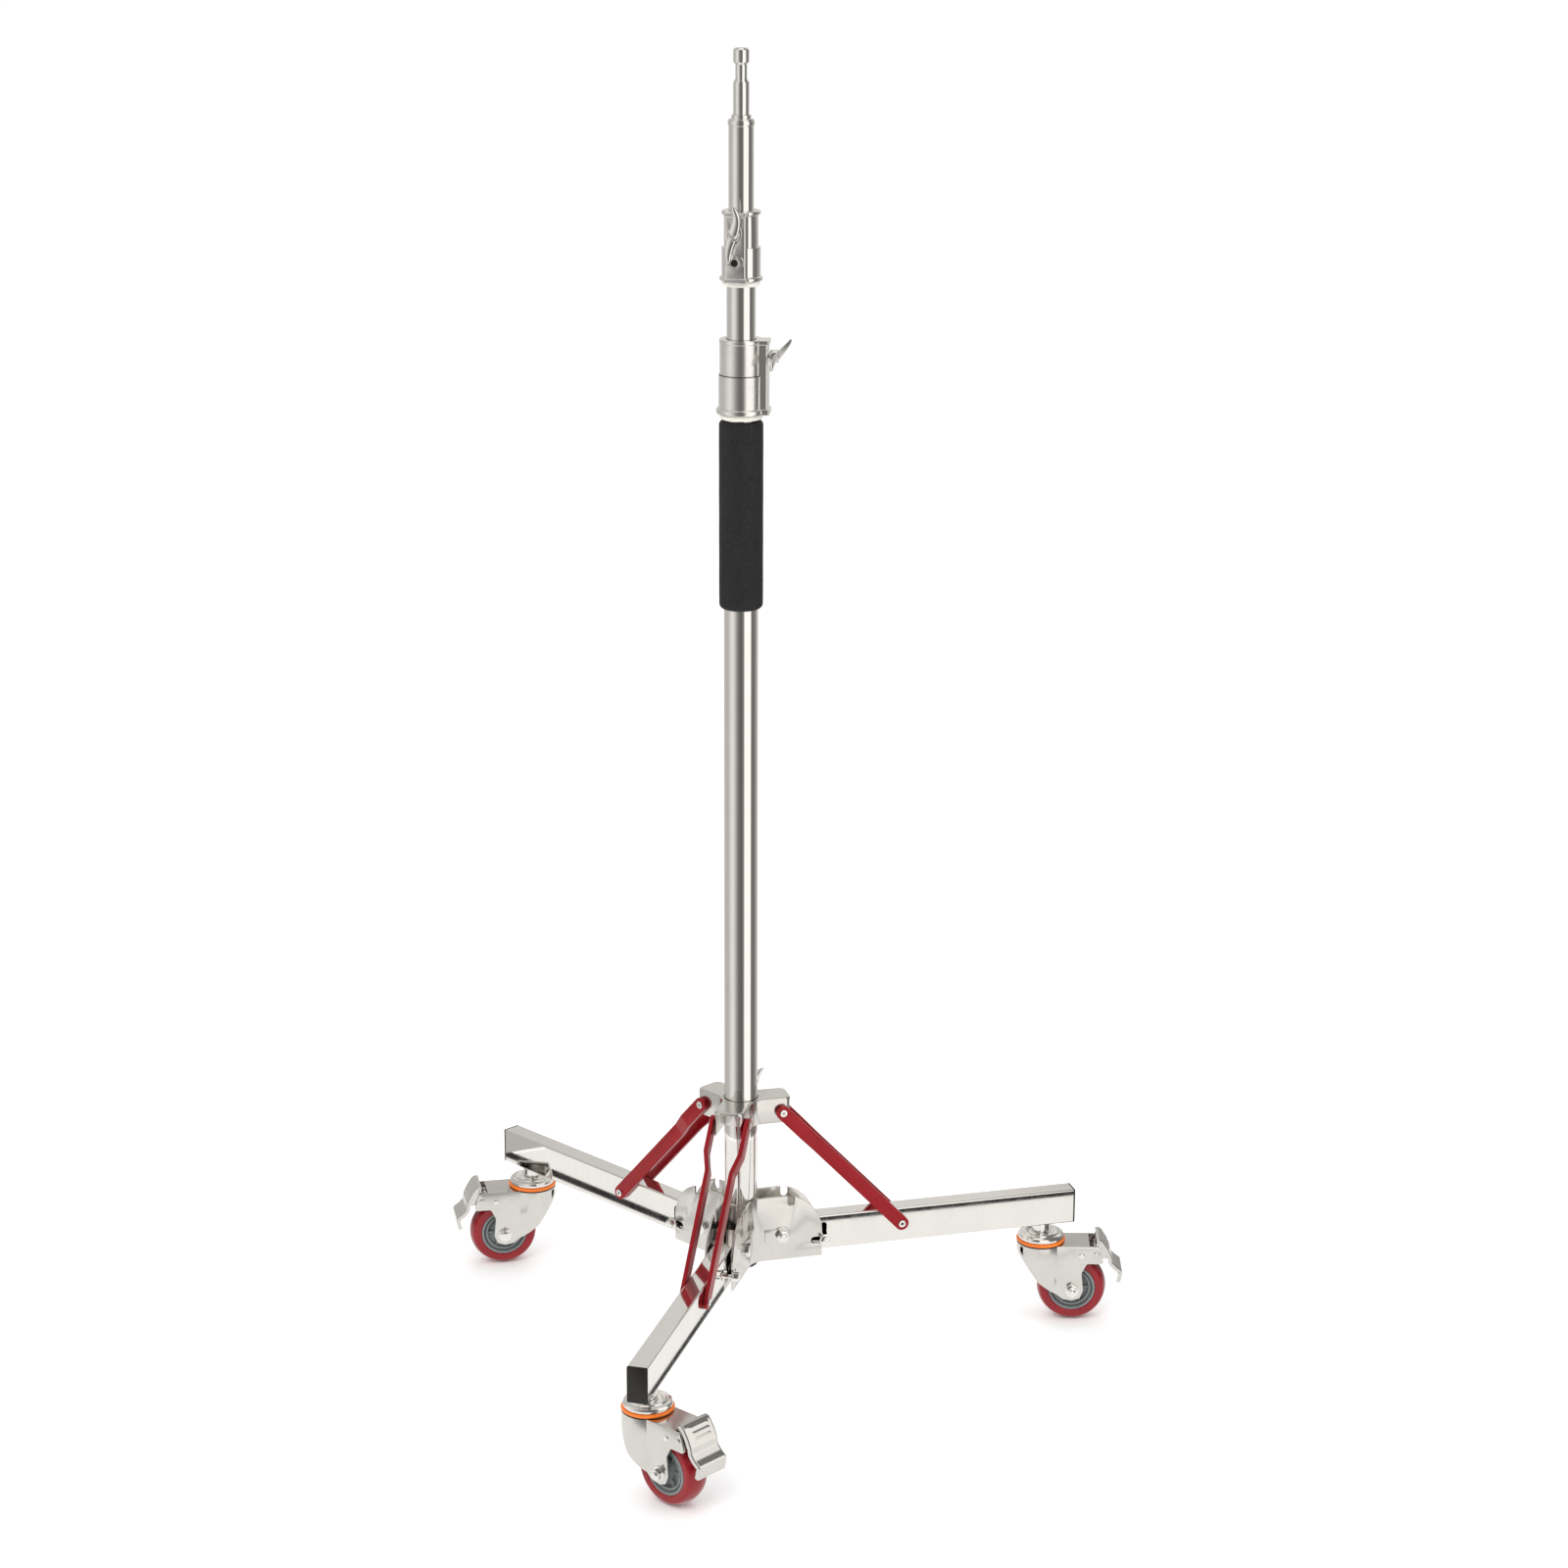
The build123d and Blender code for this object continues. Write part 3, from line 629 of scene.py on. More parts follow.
    def piece(self, name: str, slot: Slot, body: str, place: Matrix = Matrix.Identity(4),
              replaces: Sequence[str] = (), subdivide: int = 0) -> bpy.types.Object:
        """Finish the form as a named piece of the stand.

        Args:
            name: the piece's name.
            slot: its finish.
            body: the frame body it rides on.
            place: where it stands, in metres.
            replaces: frame nodes that it stands for.
            subdivide: levels of subdivision surface.

        Returns:
            The finished object.
        """
        self.move(place @ Matrix.Scale(MM, 4))
        mesh = bpy.data.meshes.new(name)
        self.bm.to_mesh(mesh)
        self.bm.free()
        mesh.polygons.foreach_set("use_smooth", [True] * len(mesh.polygons))
        mesh.set_sharp_from_angle(angle=SMOOTH_BELOW)
        mesh.materials.append(PAINT.of(slot))
        made = bpy.data.objects.new(name, mesh)
        bpy.context.scene.collection.objects.link(made)
        if subdivide:
            surface = made.modifiers.new("subdivide", "SUBSURF")
            surface.levels = subdivide
            surface.render_levels = subdivide
        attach(made, body)
        if replaces:
            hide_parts(*replaces)
        LOG.info("%s: %d faces, rides on %s", name, len(mesh.polygons), body)
        return made


def softened(node: str, slot: Slot, body: str, width: float, segments: int = 3) -> None:
    """Stand a copy of a frame node in its place, with its edges rounded as a tumbled part's are.

    Args:
        node: the frame node.
        slot: its finish.
        body: the body it rides on.
        width: width of the rounding.
        segments: faces across it.
    """
    form = Form.of_node(node).soften(width, segments)
    form.piece(f"{node}_finished", slot, body, replaces=[node])


def joint(name: str) -> dict[str, object]:
    """The frame's joint of that name."""
    return next(held for held in frame["joints"] if held["name"] == name)


def frame_of(origin: Sequence[float], forward: Sequence[float], up: Sequence[float]) -> Matrix:
    """A place with its X axis forward and its Z axis up.

    Args:
        origin: the place's origin in metres.
        forward: direction of X.
        up: direction of Z.

    Returns:
        The place as a matrix.
    """
    x_axis, z_axis = Vector(forward).normalized(), Vector(up).normalized()
    y_axis = z_axis.cross(x_axis)
    turn = Matrix((x_axis, y_axis, z_axis)).transposed()
    return Matrix.Translation(origin) @ turn.to_4x4()


ACROSS = Matrix.Rotation(-QUARTER_TURN, 4, "X")


# ---------------------------------------------------------------- column


@dataclass
class Column:
    """Polished tubes, their collars and bushes, and the stud."""

    kept: tuple[tuple[str, Slot], ...] = (
        ("column_tube", Slot.POLISHED), ("riser_1_tube", Slot.POLISHED),
        ("riser_2_tube", Slot.POLISHED), ("column_foot_plug", Slot.BLACK),
        ("riser_1_foot_guide", Slot.NYLON), ("riser_2_foot_guide", Slot.NYLON),
        ("lower_collar_bush", Slot.NYLON), ("upper_collar_bush", Slot.NYLON),
        ("hub_sleeve", Slot.CAST), ("lower_collar", Slot.CAST))
    collar_edge: float = 0.6
    stud_edge: float = 0.35
    step_radius: float = 21.5
    step_height: float = 1055.0
    ring_height: float = 1169.0
    ring_face: float = 24.6
    ring_hole: float = 3.6

    def step_shadow_ring(self) -> Form:
        """Turn a thin black ring on the lower collar's step, painted shade that stands for the step's
        shadow line.

        Returns:
            The ring of painted shade.
        """
        low, high = self.step_height + 0.02, self.step_height + 0.95
        inner, outer = self.step_radius - 0.3, self.step_radius + 0.55
        return Form.lathe([(inner, low), (outer, low), (outer - 0.1, high - 0.2), (inner, high)],
                          120)

    def ring_hole_shade(self) -> Form:
        """Turn a black plug in the upper collar's ring, painted shade that makes the ring's hole
        dark.

        Returns:
            The plug of painted shade.
        """
        radius = self.ring_hole - 0.05
        line = [(0.0, -1.2), (radius, -1.2), (radius, 0.0), (radius * 0.6, 0.15), (0.0, 0.2)]
        return Form.lathe(line, 32, closed=False)

    def ring_place(self) -> Matrix:
        """Find the ring on the upper collar's boss.

        Returns:
            The ring's place, with its Z axis outwards.
        """
        out = Vector(joint("upper_lever_turn")["axis"]).normalized()
        spot = out * self.ring_face + Vector((0, 0, self.ring_height))
        return frame_of(spot * MM, (0, 0, 1), out)

    def build(self) -> None:
        """Dress the kept tubes, bushes and lower collar, and round the rest."""
        for node, slot in self.kept:
            PAINT.dress(node, slot)
        # A black ring on the collar's step: painted shade for the step's shadow line.
        self.step_shadow_ring().piece("lower_collar_step_shadow", Slot.BLACK, "mast")
        # A black plug in the ring's hole: painted shade for the dark inside of the hole.
        self.ring_hole_shade().piece("upper_collar_hole_shade", Slot.BLACK, "riser_1", self.ring_place())
        softened("upper_collar", Slot.PLATED, "riser_1", self.collar_edge)
        softened("riser_2_cap", Slot.PLATED, "riser_2", self.stud_edge)
        softened("stud", Slot.PLATED, "riser_2", self.stud_edge, 2)


@dataclass
class Grip:
    """Foam sleeve on the column, with soft ends pulled in to the tube."""

    end_radius: float = 5.5
    end_steps: int = 5
    waist: float = 0.1
    waists: int = 4
    rows: int = 24
    bore_gap: float = 0.05

    def build(self) -> None:
        """Turn the sleeve between the frame grip's ends."""
        low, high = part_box("foam_grip")
        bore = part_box("column_tube")[1].x / MM + self.bore_gap
        outer, bottom, top = high.x / MM, low.z / MM, high.z / MM
        side = []
        for row in range(self.rows + 1):
            share = row / self.rows
            height = bottom + self.end_radius + share * (top - bottom - 2 * self.end_radius)
            pull = 0.5 + 0.5 * math.cos(FULL_TURN * self.waists * share)
            side.append((outer - self.waist * pull, height))
        foot = []
        for step in range(self.end_steps):
            turn = QUARTER_TURN * step / self.end_steps
            foot.append((outer - self.end_radius * (1 - math.sin(turn)),
                         bottom + self.end_radius * (1 - math.cos(turn))))
        head = [(radius, bottom + top - height) for radius, height in reversed(foot)]
        grip = Form.lathe([(bore, bottom + 0.6), *foot, *side, *head, (bore, top - 0.6)], steps=96)
        made = grip.piece("foam_sleeve", Slot.FOAM, "mast", replaces=["foam_grip"])


# ---------------------------------------------------------------- clamp levers


@dataclass
class ClampLever:
    """A cast lever: a round hub on its screw, and an S-shaped handle that sweeps outwards.

    line holds the handle's middle as (out from the hub face, across, up), and swell its half
    width there.
    """

    node: str
    body: str
    turn: str
    lean: float
    gap: float
    line: tuple[tuple[float, float, float], ...] = (
        (3.6, -5.0, -28.6), (3.9, -6.2, -22.0), (5.2, -4.4, -11.0), (7.4, 0.0, 0.0),
        (10.4, 4.3, 12.0), (14.6, 5.2, 21.5), (18.6, 2.6, 29.4))
    swell: tuple[float, ...] = (2.0, 3.5, 4.7, 5.6, 5.0, 4.1, 2.0)
    thickness: float = 2.3
    ring_points: int = 8
    hub_radius: float = 6.6
    hub_height: float = 8.5
    screw_radius: float = 3.5

    def place(self) -> Matrix:
        """Find the lever's own frame.

        Returns:
            The place, with X out along the screw from the face of the boss.
        """
        held = joint(self.turn)
        start = frame_of(held["pos_m"], held["axis"], (0, 0, 1))
        turned = start @ Matrix.Rotation(math.radians(self.lean), 4, "X")
        return turned @ Matrix.Translation((self.gap * MM, 0, 0))

    def handle(self) -> Form:
        """Bridge the handle from a row of oval rings.

        Returns:
            The handle.
        """
        points = [Vector(point) for point in self.line]
        rings = []
        for index, (point, half) in enumerate(zip(points, self.swell)):
            after, before = points[min(index + 1, len(points) - 1)], points[max(index - 1, 0)]
            along = (after - before).normalized()
            wide = along.cross(Vector((1, 0, 0))).normalized()
            thick = wide.cross(along).normalized()
            turns = [FULL_TURN * k / self.ring_points for k in range(self.ring_points)]
            depth = min(self.thickness, half)
            rings.append([point + wide * half * math.cos(turn) + thick * depth * math.sin(turn)
                          for turn in turns])
        return Form.skin(rings)

    def build(self) -> None:
        """Make the handle, its hub and its screw."""
        place = self.place()
        out = Matrix.Rotation(QUARTER_TURN, 4, "Y")
        self.handle().piece(f"{self.node}_handle", Slot.PLATED, self.body, place, [self.node], 3)
        hub_line = [(self.screw_radius, 0.0), (self.hub_radius, 0.0),
                    (self.hub_radius, self.hub_height), (self.screw_radius, self.hub_height)]
        hub = Form.lathe(rounded_line(hub_line, 1.3, 4, True), 48).move(out)
        hub.piece(f"{self.node}_hub", Slot.PLATED, self.body, place)
        depth = self._screw_depth()
        head = self.hub_height + 1.0
        line = [(0.0, -depth), (self.screw_radius - 0.4, -depth), (self.screw_radius, -depth + 0.4),
                (self.screw_radius, head - 0.5), (self.screw_radius - 0.5, head), (1.7, head),
                (1.5, head - 1.6), (0.0, head - 1.6)]
        screw = Form.lathe(line, 36, closed=False).move(out)
        screw.piece(f"{self.node}_screw", Slot.PLATED, self.body, place)

    def _screw_depth(self) -> float:
        """Measure the screw on the frame node.

        Returns:
            How far it reaches inwards from the lever's own frame, in millimetres.
        """
        inverse = self.place().inverted()
        vertices = frame["nodes"][self.node].data.vertices
        return -min((inverse @ vertex.co).x for vertex in vertices) / MM


# ---------------------------------------------------------------- hub, legs, braces, spider


@dataclass
class Base:
    """Bracket wings, leg tubes with their latches and plugs, braces and the sliding spider."""

    wing_edge: float = 0.4
    bar_edge: float = 1.95
    spider_edge: float = 0.5
    rivet_edge: float = 0.5
    plug_edge: float = 0.35

    def build(self) -> None:
        """Finish every part of the folding base."""
        softened("pivot_bolts", Slot.PLATED, "mast", self.rivet_edge, 2)
        softened("spider", Slot.PRESSED, "spider", self.spider_edge)
        PAINT.dress("spider_bush", Slot.NYLON)
        for leg in LEGS:
            softened(f"bracket_wing_{leg}", Slot.PRESSED, "mast", self.wing_edge)
            PAINT.dress(f"leg_{leg}_tube", Slot.POLISHED)
            softened(f"leg_{leg}_end_plugs", Slot.BLACK, f"leg_{leg}", self.plug_edge, 2)
            softened(f"latch_pin_{leg}", Slot.PLATED, f"latch_{leg}", self.rivet_edge, 2)
            softened(f"brace_{leg}_bars", Slot.RED_BAR, f"brace_{leg}", self.bar_edge, 5)
            softened(f"brace_{leg}_rivets", Slot.PLATED, f"brace_{leg}", self.rivet_edge, 3)


# ---------------------------------------------------------------- casters


@dataclass
class Caster:
    """A braked swivel caster, trailing along its own X axis from the stem."""

    leg: str
    wheel_radius: float = 37.5
    wheel_width: float = 26.0
    core_radius: float = 25.5
    crown_steps: int = 18
    crown_drop: float = 3.0
    parting: float = 0.12
    stem_radius: float = 9.5
    leg_low: float = 110.0
    seal_radius: float = 26.7
    seal_levels: tuple[float, float] = (89.5, 93.0)
    axle_radius: float = 4.0
    washer: float = 1.2
    fork_half: float = 19.5
    fork_edge: float = 0.7
    arm_rivet: Point = (44.0, 78.0)
    pedal_pivot: Point = (60.0, 80.0)
    pedal_line: tuple[Point, ...] = (
        (59.8, 96.6), (63.4, 97.6), (67.4, 94.6), (73.0, 86.0), (76.8, 77.5), (78.0, 70.6),
        (82.4, 65.8), (88.6, 61.4), (89.0, 57.0), (86.8, 47.4))
    pedal_half: float = 19.0
    pedal_wall: float = 1.6
    cheek_gap: float = 3.0
    flat_share: float = 0.8
    fold_share: float = 0.06
    fold_radius: float = 1.1
    fold_depth: float = 3.4
    ridges: int = 3
    ridge_rise: float = 0.9
    ridge_start: float = 0.16
    ridge_step: float = 0.085
    ridge_width: float = 0.016
    spokes: int = 6
    trail: float = field(init=False)
    place: Matrix = field(init=False)

    def __post_init__(self) -> None:
        """Find the caster's frame from its two joints."""
        stem = Vector(joint(f"caster_{self.leg}_swivel")["pos_m"])
        held = joint(f"wheel_{self.leg}_spin")
        wheel = Vector(held["pos_m"])
        back = Vector((wheel.x - stem.x, wheel.y - stem.y, 0.0))
        self.trail = back.length / MM
        self.place = frame_of((stem.x, stem.y, 0.0), back, (0, 0, 1))

    def _on_axle(self, form: Form) -> Form:
        """Carry a form turned about Z to the axle."""
        return form.move(Matrix.Translation((self.trail, 0, self.wheel_radius)) @ ACROSS)

    def tyre(self) -> Form:
        """Turn the crowned tyre, with round shoulders and a faint parting line.

        Returns:
            The tyre on its axle.
        """
        half = self.wheel_width / 2
        crown_half = half - 1.2
        crown = []
        for step in range(self.crown_steps + 1):
            across = (2 * step / self.crown_steps - 1) * crown_half
            drop = self.crown_drop * (across / crown_half) ** 2
            parting = self.parting if abs(across) < 0.1 else 0.0
            crown.append((self.wheel_radius - self.parting - drop + parting, across))
        edge = [(self.wheel_radius - 5.2, half - 0.1), (self.wheel_radius - 8.0, half),
                (self.core_radius + 1.4, half - 0.3), (self.core_radius, half - 1.0)]
        far = [(radius, -across) for radius, across in edge]
        shoulders = [*reversed(far), *crown, *edge]
        return self._on_axle(Form.lathe(rounded_line(shoulders, 1.8, 3, True), 144))

    def core(self) -> Form:
        """Turn the grey core: two rim rings, a dished web with ribs, and the hub.

        Returns:
            The core on its axle.
        """
        half = self.wheel_width / 2
        side = [(self.core_radius, half - 1.0), (24.8, half - 0.4), (22.9, half - 0.4),
                (22.5, half - 5.4), (21.0, half - 5.6), (20.6, half - 2.0), (18.5, half - 2.2),
                (17.9, half - 7.8), (12.0, half - 8.0), (10.4, half - 7.0), (9.8, half + 2.3),
                (9.3, half + 2.8), (self.axle_radius + 0.2, half + 2.8)]
        far = [(radius, -across) for radius, across in reversed(side)]
        form = Form.lathe(rounded_line([*side, *far], 0.5, 2, True), 120)
        for index in range(self.spokes):
            turn = Matrix.Rotation(FULL_TURN * index / self.spokes, 4, "Z")
            for sign in (1, -1):
                low, high = sorted((sign * (half - 8.6), sign * (half - 4.4)))
                rib = Form.block((9.9, -0.9, low), (18.6, 0.9, high)).soften(0.3, 2)
                form.add(rib.move(turn))
        return self._on_axle(form)

    def race(self) -> Form:
        """Turn the stem, the raised bead and dish of the upper race, and the riveted kingpin.

        Returns:
            The race under its leg.
        """
        low = self.seal_levels[1] + 0.1
        line = [(0.0, self.leg_low), (self.stem_radius, self.leg_low), (self.stem_radius, 99.2),
                (11.0, 98.2), (13.8, 98.2), (15.2, 100.0), (17.0, 100.9), (18.8, 100.4),
                (20.0, 98.8), (21.6, 98.9), (23.8, 98.2), (25.1, 96.2), (24.9, low), (6.0, low),
                (6.0, 86.2), (9.0, 86.0), (8.2, 83.6), (0.0, 83.4)]
        return Form.lathe(rounded_line(line, 1.1, 4), 96, closed=False)

    def seal(self) -> Form:
        """Turn the orange ring between the race and the fork.

        Returns:
            The ring.
        """
        low, high = self.seal_levels
        line = [(21.0, low), (self.seal_radius, low), (self.seal_radius, high), (21.0, high)]
        return Form.lathe(rounded_line(line, 1.5, 5, True), 96)

    def axle(self) -> Form:
        """Make the axle bolt with its washers, head and nut.

        Returns:
            The bolt on the axle.
        """
        radius, end, head_end = self.axle_radius, self.fork_half + 8.2, self.fork_half + 2.0
        bolt = Form.lathe([(0, -end), (2.9, -end), (radius, 1.0 - end), (radius, head_end),
                           (0, head_end)], 36, closed=False)
        for sign in (1, -1):
            face, far = sign * self.fork_half, sign * (self.fork_half + self.washer)
            rim = [(radius, face), (7.2, face), (7.2, far), (radius, far)]
            bolt.add(Form.lathe(rounded_line(rim, 0.4, 2, True), 40))
        seat = self.fork_half + self.washer
        head = Form.hexagon(11.0, 4.2, 0.9).move(Matrix.Translation((0, 0, seat)))
        nut = Form.hexagon(11.0, 4.8, 0.9).move(Matrix.Scale(-1, 4, (0, 0, 1)))
        nut.move(Matrix.Translation((0, 0, -seat)))
        return self._on_axle(bolt.add(head).add(nut))

    def rivet_heads(self, spot: Point) -> Form:
        """Turn a low domed rivet head for each side of the fork.

        Args:
            spot: the rivet's place in X and Z.

        Returns:
            The two heads.
        """
        line = [(0.0, -0.3), (3.3, -0.3), (3.2, 0.4), (2.6, 0.85), (1.4, 1.1), (0.0, 1.15)]
        place = Matrix.Translation((spot[0], self.fork_half, spot[1])) @ ACROSS
        return Form.lathe(rounded_line(line, 0.3, 2), 32, closed=False).move(place).mirrored()

    def lip(self) -> Form:
        """Turn a thin black ring under the seal ring, painted shade for the shadow line between the
        seal ring and the fork.

        Returns:
            The ring of painted shade.
        """
        low, high = self.seal_levels[0] - 1.25, self.seal_levels[0] - 0.15
        line = [(25.2, low), (26.15, low), (26.3, high), (25.2, high)]
        return Form.lathe(line, 96)

    def pedal_plate(self) -> Form:
        """Press the pedal: a bent plate with folded sides, ridges and a rolled lip.

        Returns:
            The plate, its outer and inner skins bridged round their rims.
        """
        line = rounded_line(self.pedal_line, 3.0, 4)
        lengths = [0.0]
        for first, second in zip(line, line[1:]):
            lengths.append(lengths[-1] + math.dist(first, second))
        form = Form()
        for inner in (False, True):
            made = bmesh.ops.create_grid(form.bm, x_segments=72, y_segments=32, size=0.5)["verts"]
            for vertex in made:
                along, across = vertex.co.x + 0.5, 2 * vertex.co.y
                vertex.co = self._pedal_point(line, lengths, along, across, inner)
        bmesh.ops.bridge_loops(form.bm, edges=[e for e in form.bm.edges if e.is_boundary])
        return form.clean()

    def _pedal_point(self, line: list[Point], lengths: list[float], along: float, across: float,
                     inner: bool) -> Vector:
        """Find a point of the pedal's plate.

        Args:
            line: the outer face's side view.
            lengths: distance along the line at each of its points.
            along: place down the line, 0 to 1.
            across: place across the face, -1 to 1.
            inner: whether the point is on the plate's inner face.

        Returns:
            The point in millimetres.
        """
        distance = along * lengths[-1]
        index = next(k for k in range(len(line) - 1) if distance <= lengths[k + 1] + 1e-6)
        share = (distance - lengths[index]) / (lengths[index + 1] - lengths[index])
        start, end = Vector(line[index]), Vector(line[index + 1])
        slope = (end - start).normalized()
        side = abs(across)
        rise = 0.0 if inner else sum(self._ridge(along, side, k) for k in range(self.ridges))
        bend = max(side - self.flat_share, 0.0) / (1 - self.flat_share)
        turn = min(bend * 2, 1.0) * QUARTER_TURN
        face = (1 - self.fold_share) * min(side / self.flat_share, 1.0)
        width = self.pedal_half * (face + self.fold_share * math.sin(turn))
        drop = self.fold_radius * (1 - math.cos(turn)) + self.fold_depth * max(bend * 2 - 1, 0.0)
        if inner:
            width = min(width, self.pedal_half - self.pedal_wall)
            drop = max(drop, self.pedal_wall)
        spot = start.lerp(end, share) + Vector((-slope.y, slope.x)) * (rise - drop)
        return Vector((spot.x, math.copysign(width, across), spot.y))

    def _ridge(self, along: float, side: float, number: int) -> float:
        """Work out the height of a ridge across the pedal's face, each shorter than the last.

        Args:
            along: place down the face, 0 to 1.
            side: distance from the middle, 0 to 1.
            number: the ridge, from the top.

        Returns:
            The height there in millimetres.
        """
        offset = (along - self.ridge_start - self.ridge_step * number) / self.ridge_width
        return self.ridge_rise * math.exp(-offset ** 2) * self._fade(side / (0.62 - 0.04 * number))

    @staticmethod
    def _fade(share: float) -> float:
        """1 in the middle and 0 past the end of a ridge, with a soft shoulder."""
        return max(0.0, min(1.0, (1.0 - share) * 6.0))

    def pedal_inside(self) -> Form:
        """Make the cheeks, pad holder and cross pin under the pedal plate.

        Returns:
            The pedal's inner parts.
        """
        cheek = self.fork_half - self.cheek_gap
        web = rounded_line([(61.5, 94.5), (66.0, 94.0), (73.6, 79.0), (72.0, 74.0), (61.0, 75.5),
                            (56.5, 79.0), (57.5, 86.0)], 1.6, 3, True)
        form = Form.outline(web, cheek - 1.8, cheek).soften(0.3, 2, 60).mirrored()
        for low, high in (((57.0, -11.0, 74.0), (73.0, 11.0, 76.0)),
                          ((61.0, -cheek + 1.0, 76.0), (73.0, cheek - 1.0, 77.8))):
            form.add(Form.block(low, high).soften(0.4, 2))
        end = self.fork_half - 0.1
        pin = Form.lathe([(0.0, -end), (2.4, -end), (2.4, end), (0.0, end)], 28, closed=False)
        x, z = self.pedal_pivot
        form.add(pin.move(Matrix.Translation((x, 0, z)) @ ACROSS))
        return form.add(self.rivet_heads(self.pedal_pivot))

    def build(self) -> None:
        """Make every piece of the caster."""
        node = f"caster_{self.leg}"
        leg, fork, wheel, pedal = (f"{part}_{self.leg}" for part in ("leg", "fork", "wheel", "pedal"))
        self.race().piece(f"{node}_race", Slot.PLATED, leg, self.place, [f"{node}_stem"])
        self.seal().piece(f"{node}_seal_ring", Slot.SEAL, fork, self.place, [f"{node}_seal"])
        softened(f"{node}_fork", Slot.PRESSED, fork, self.fork_edge)
        self.rivet_heads(self.arm_rivet).piece(f"{node}_fork_rivets", Slot.PLATED, fork, self.place)
        # A black ring under the seal: painted shade for the shadow line between seal ring and fork.
        self.lip().piece(f"{node}_seal_shadow_ring", Slot.BLACK, fork, self.place)
        self.axle().piece(f"{node}_axle_bolt", Slot.PLATED, fork, self.place, [f"{node}_axle"])
        self.tyre().piece(f"{node}_tread", Slot.TYRE, wheel, self.place, [f"{node}_tyre"])
        self.core().piece(f"{node}_hub_core", Slot.CORE, wheel, self.place, [f"{node}_core"])
        self.pedal_plate().piece(f"{node}_pedal_plate", Slot.PRESSED, pedal, self.place,
                                 [f"{node}_pedal"])
        self.pedal_inside().piece(f"{node}_pedal_inside", Slot.PRESSED, pedal, self.place)
        pad = Form.block((56.5, -10.5, 69.4), (66.0, 10.5, 74.0)).soften(0.8, 3)
        pad.piece(f"{node}_brake_pad", Slot.BLACK, pedal, self.place)


# ---------------------------------------------------------------- studio


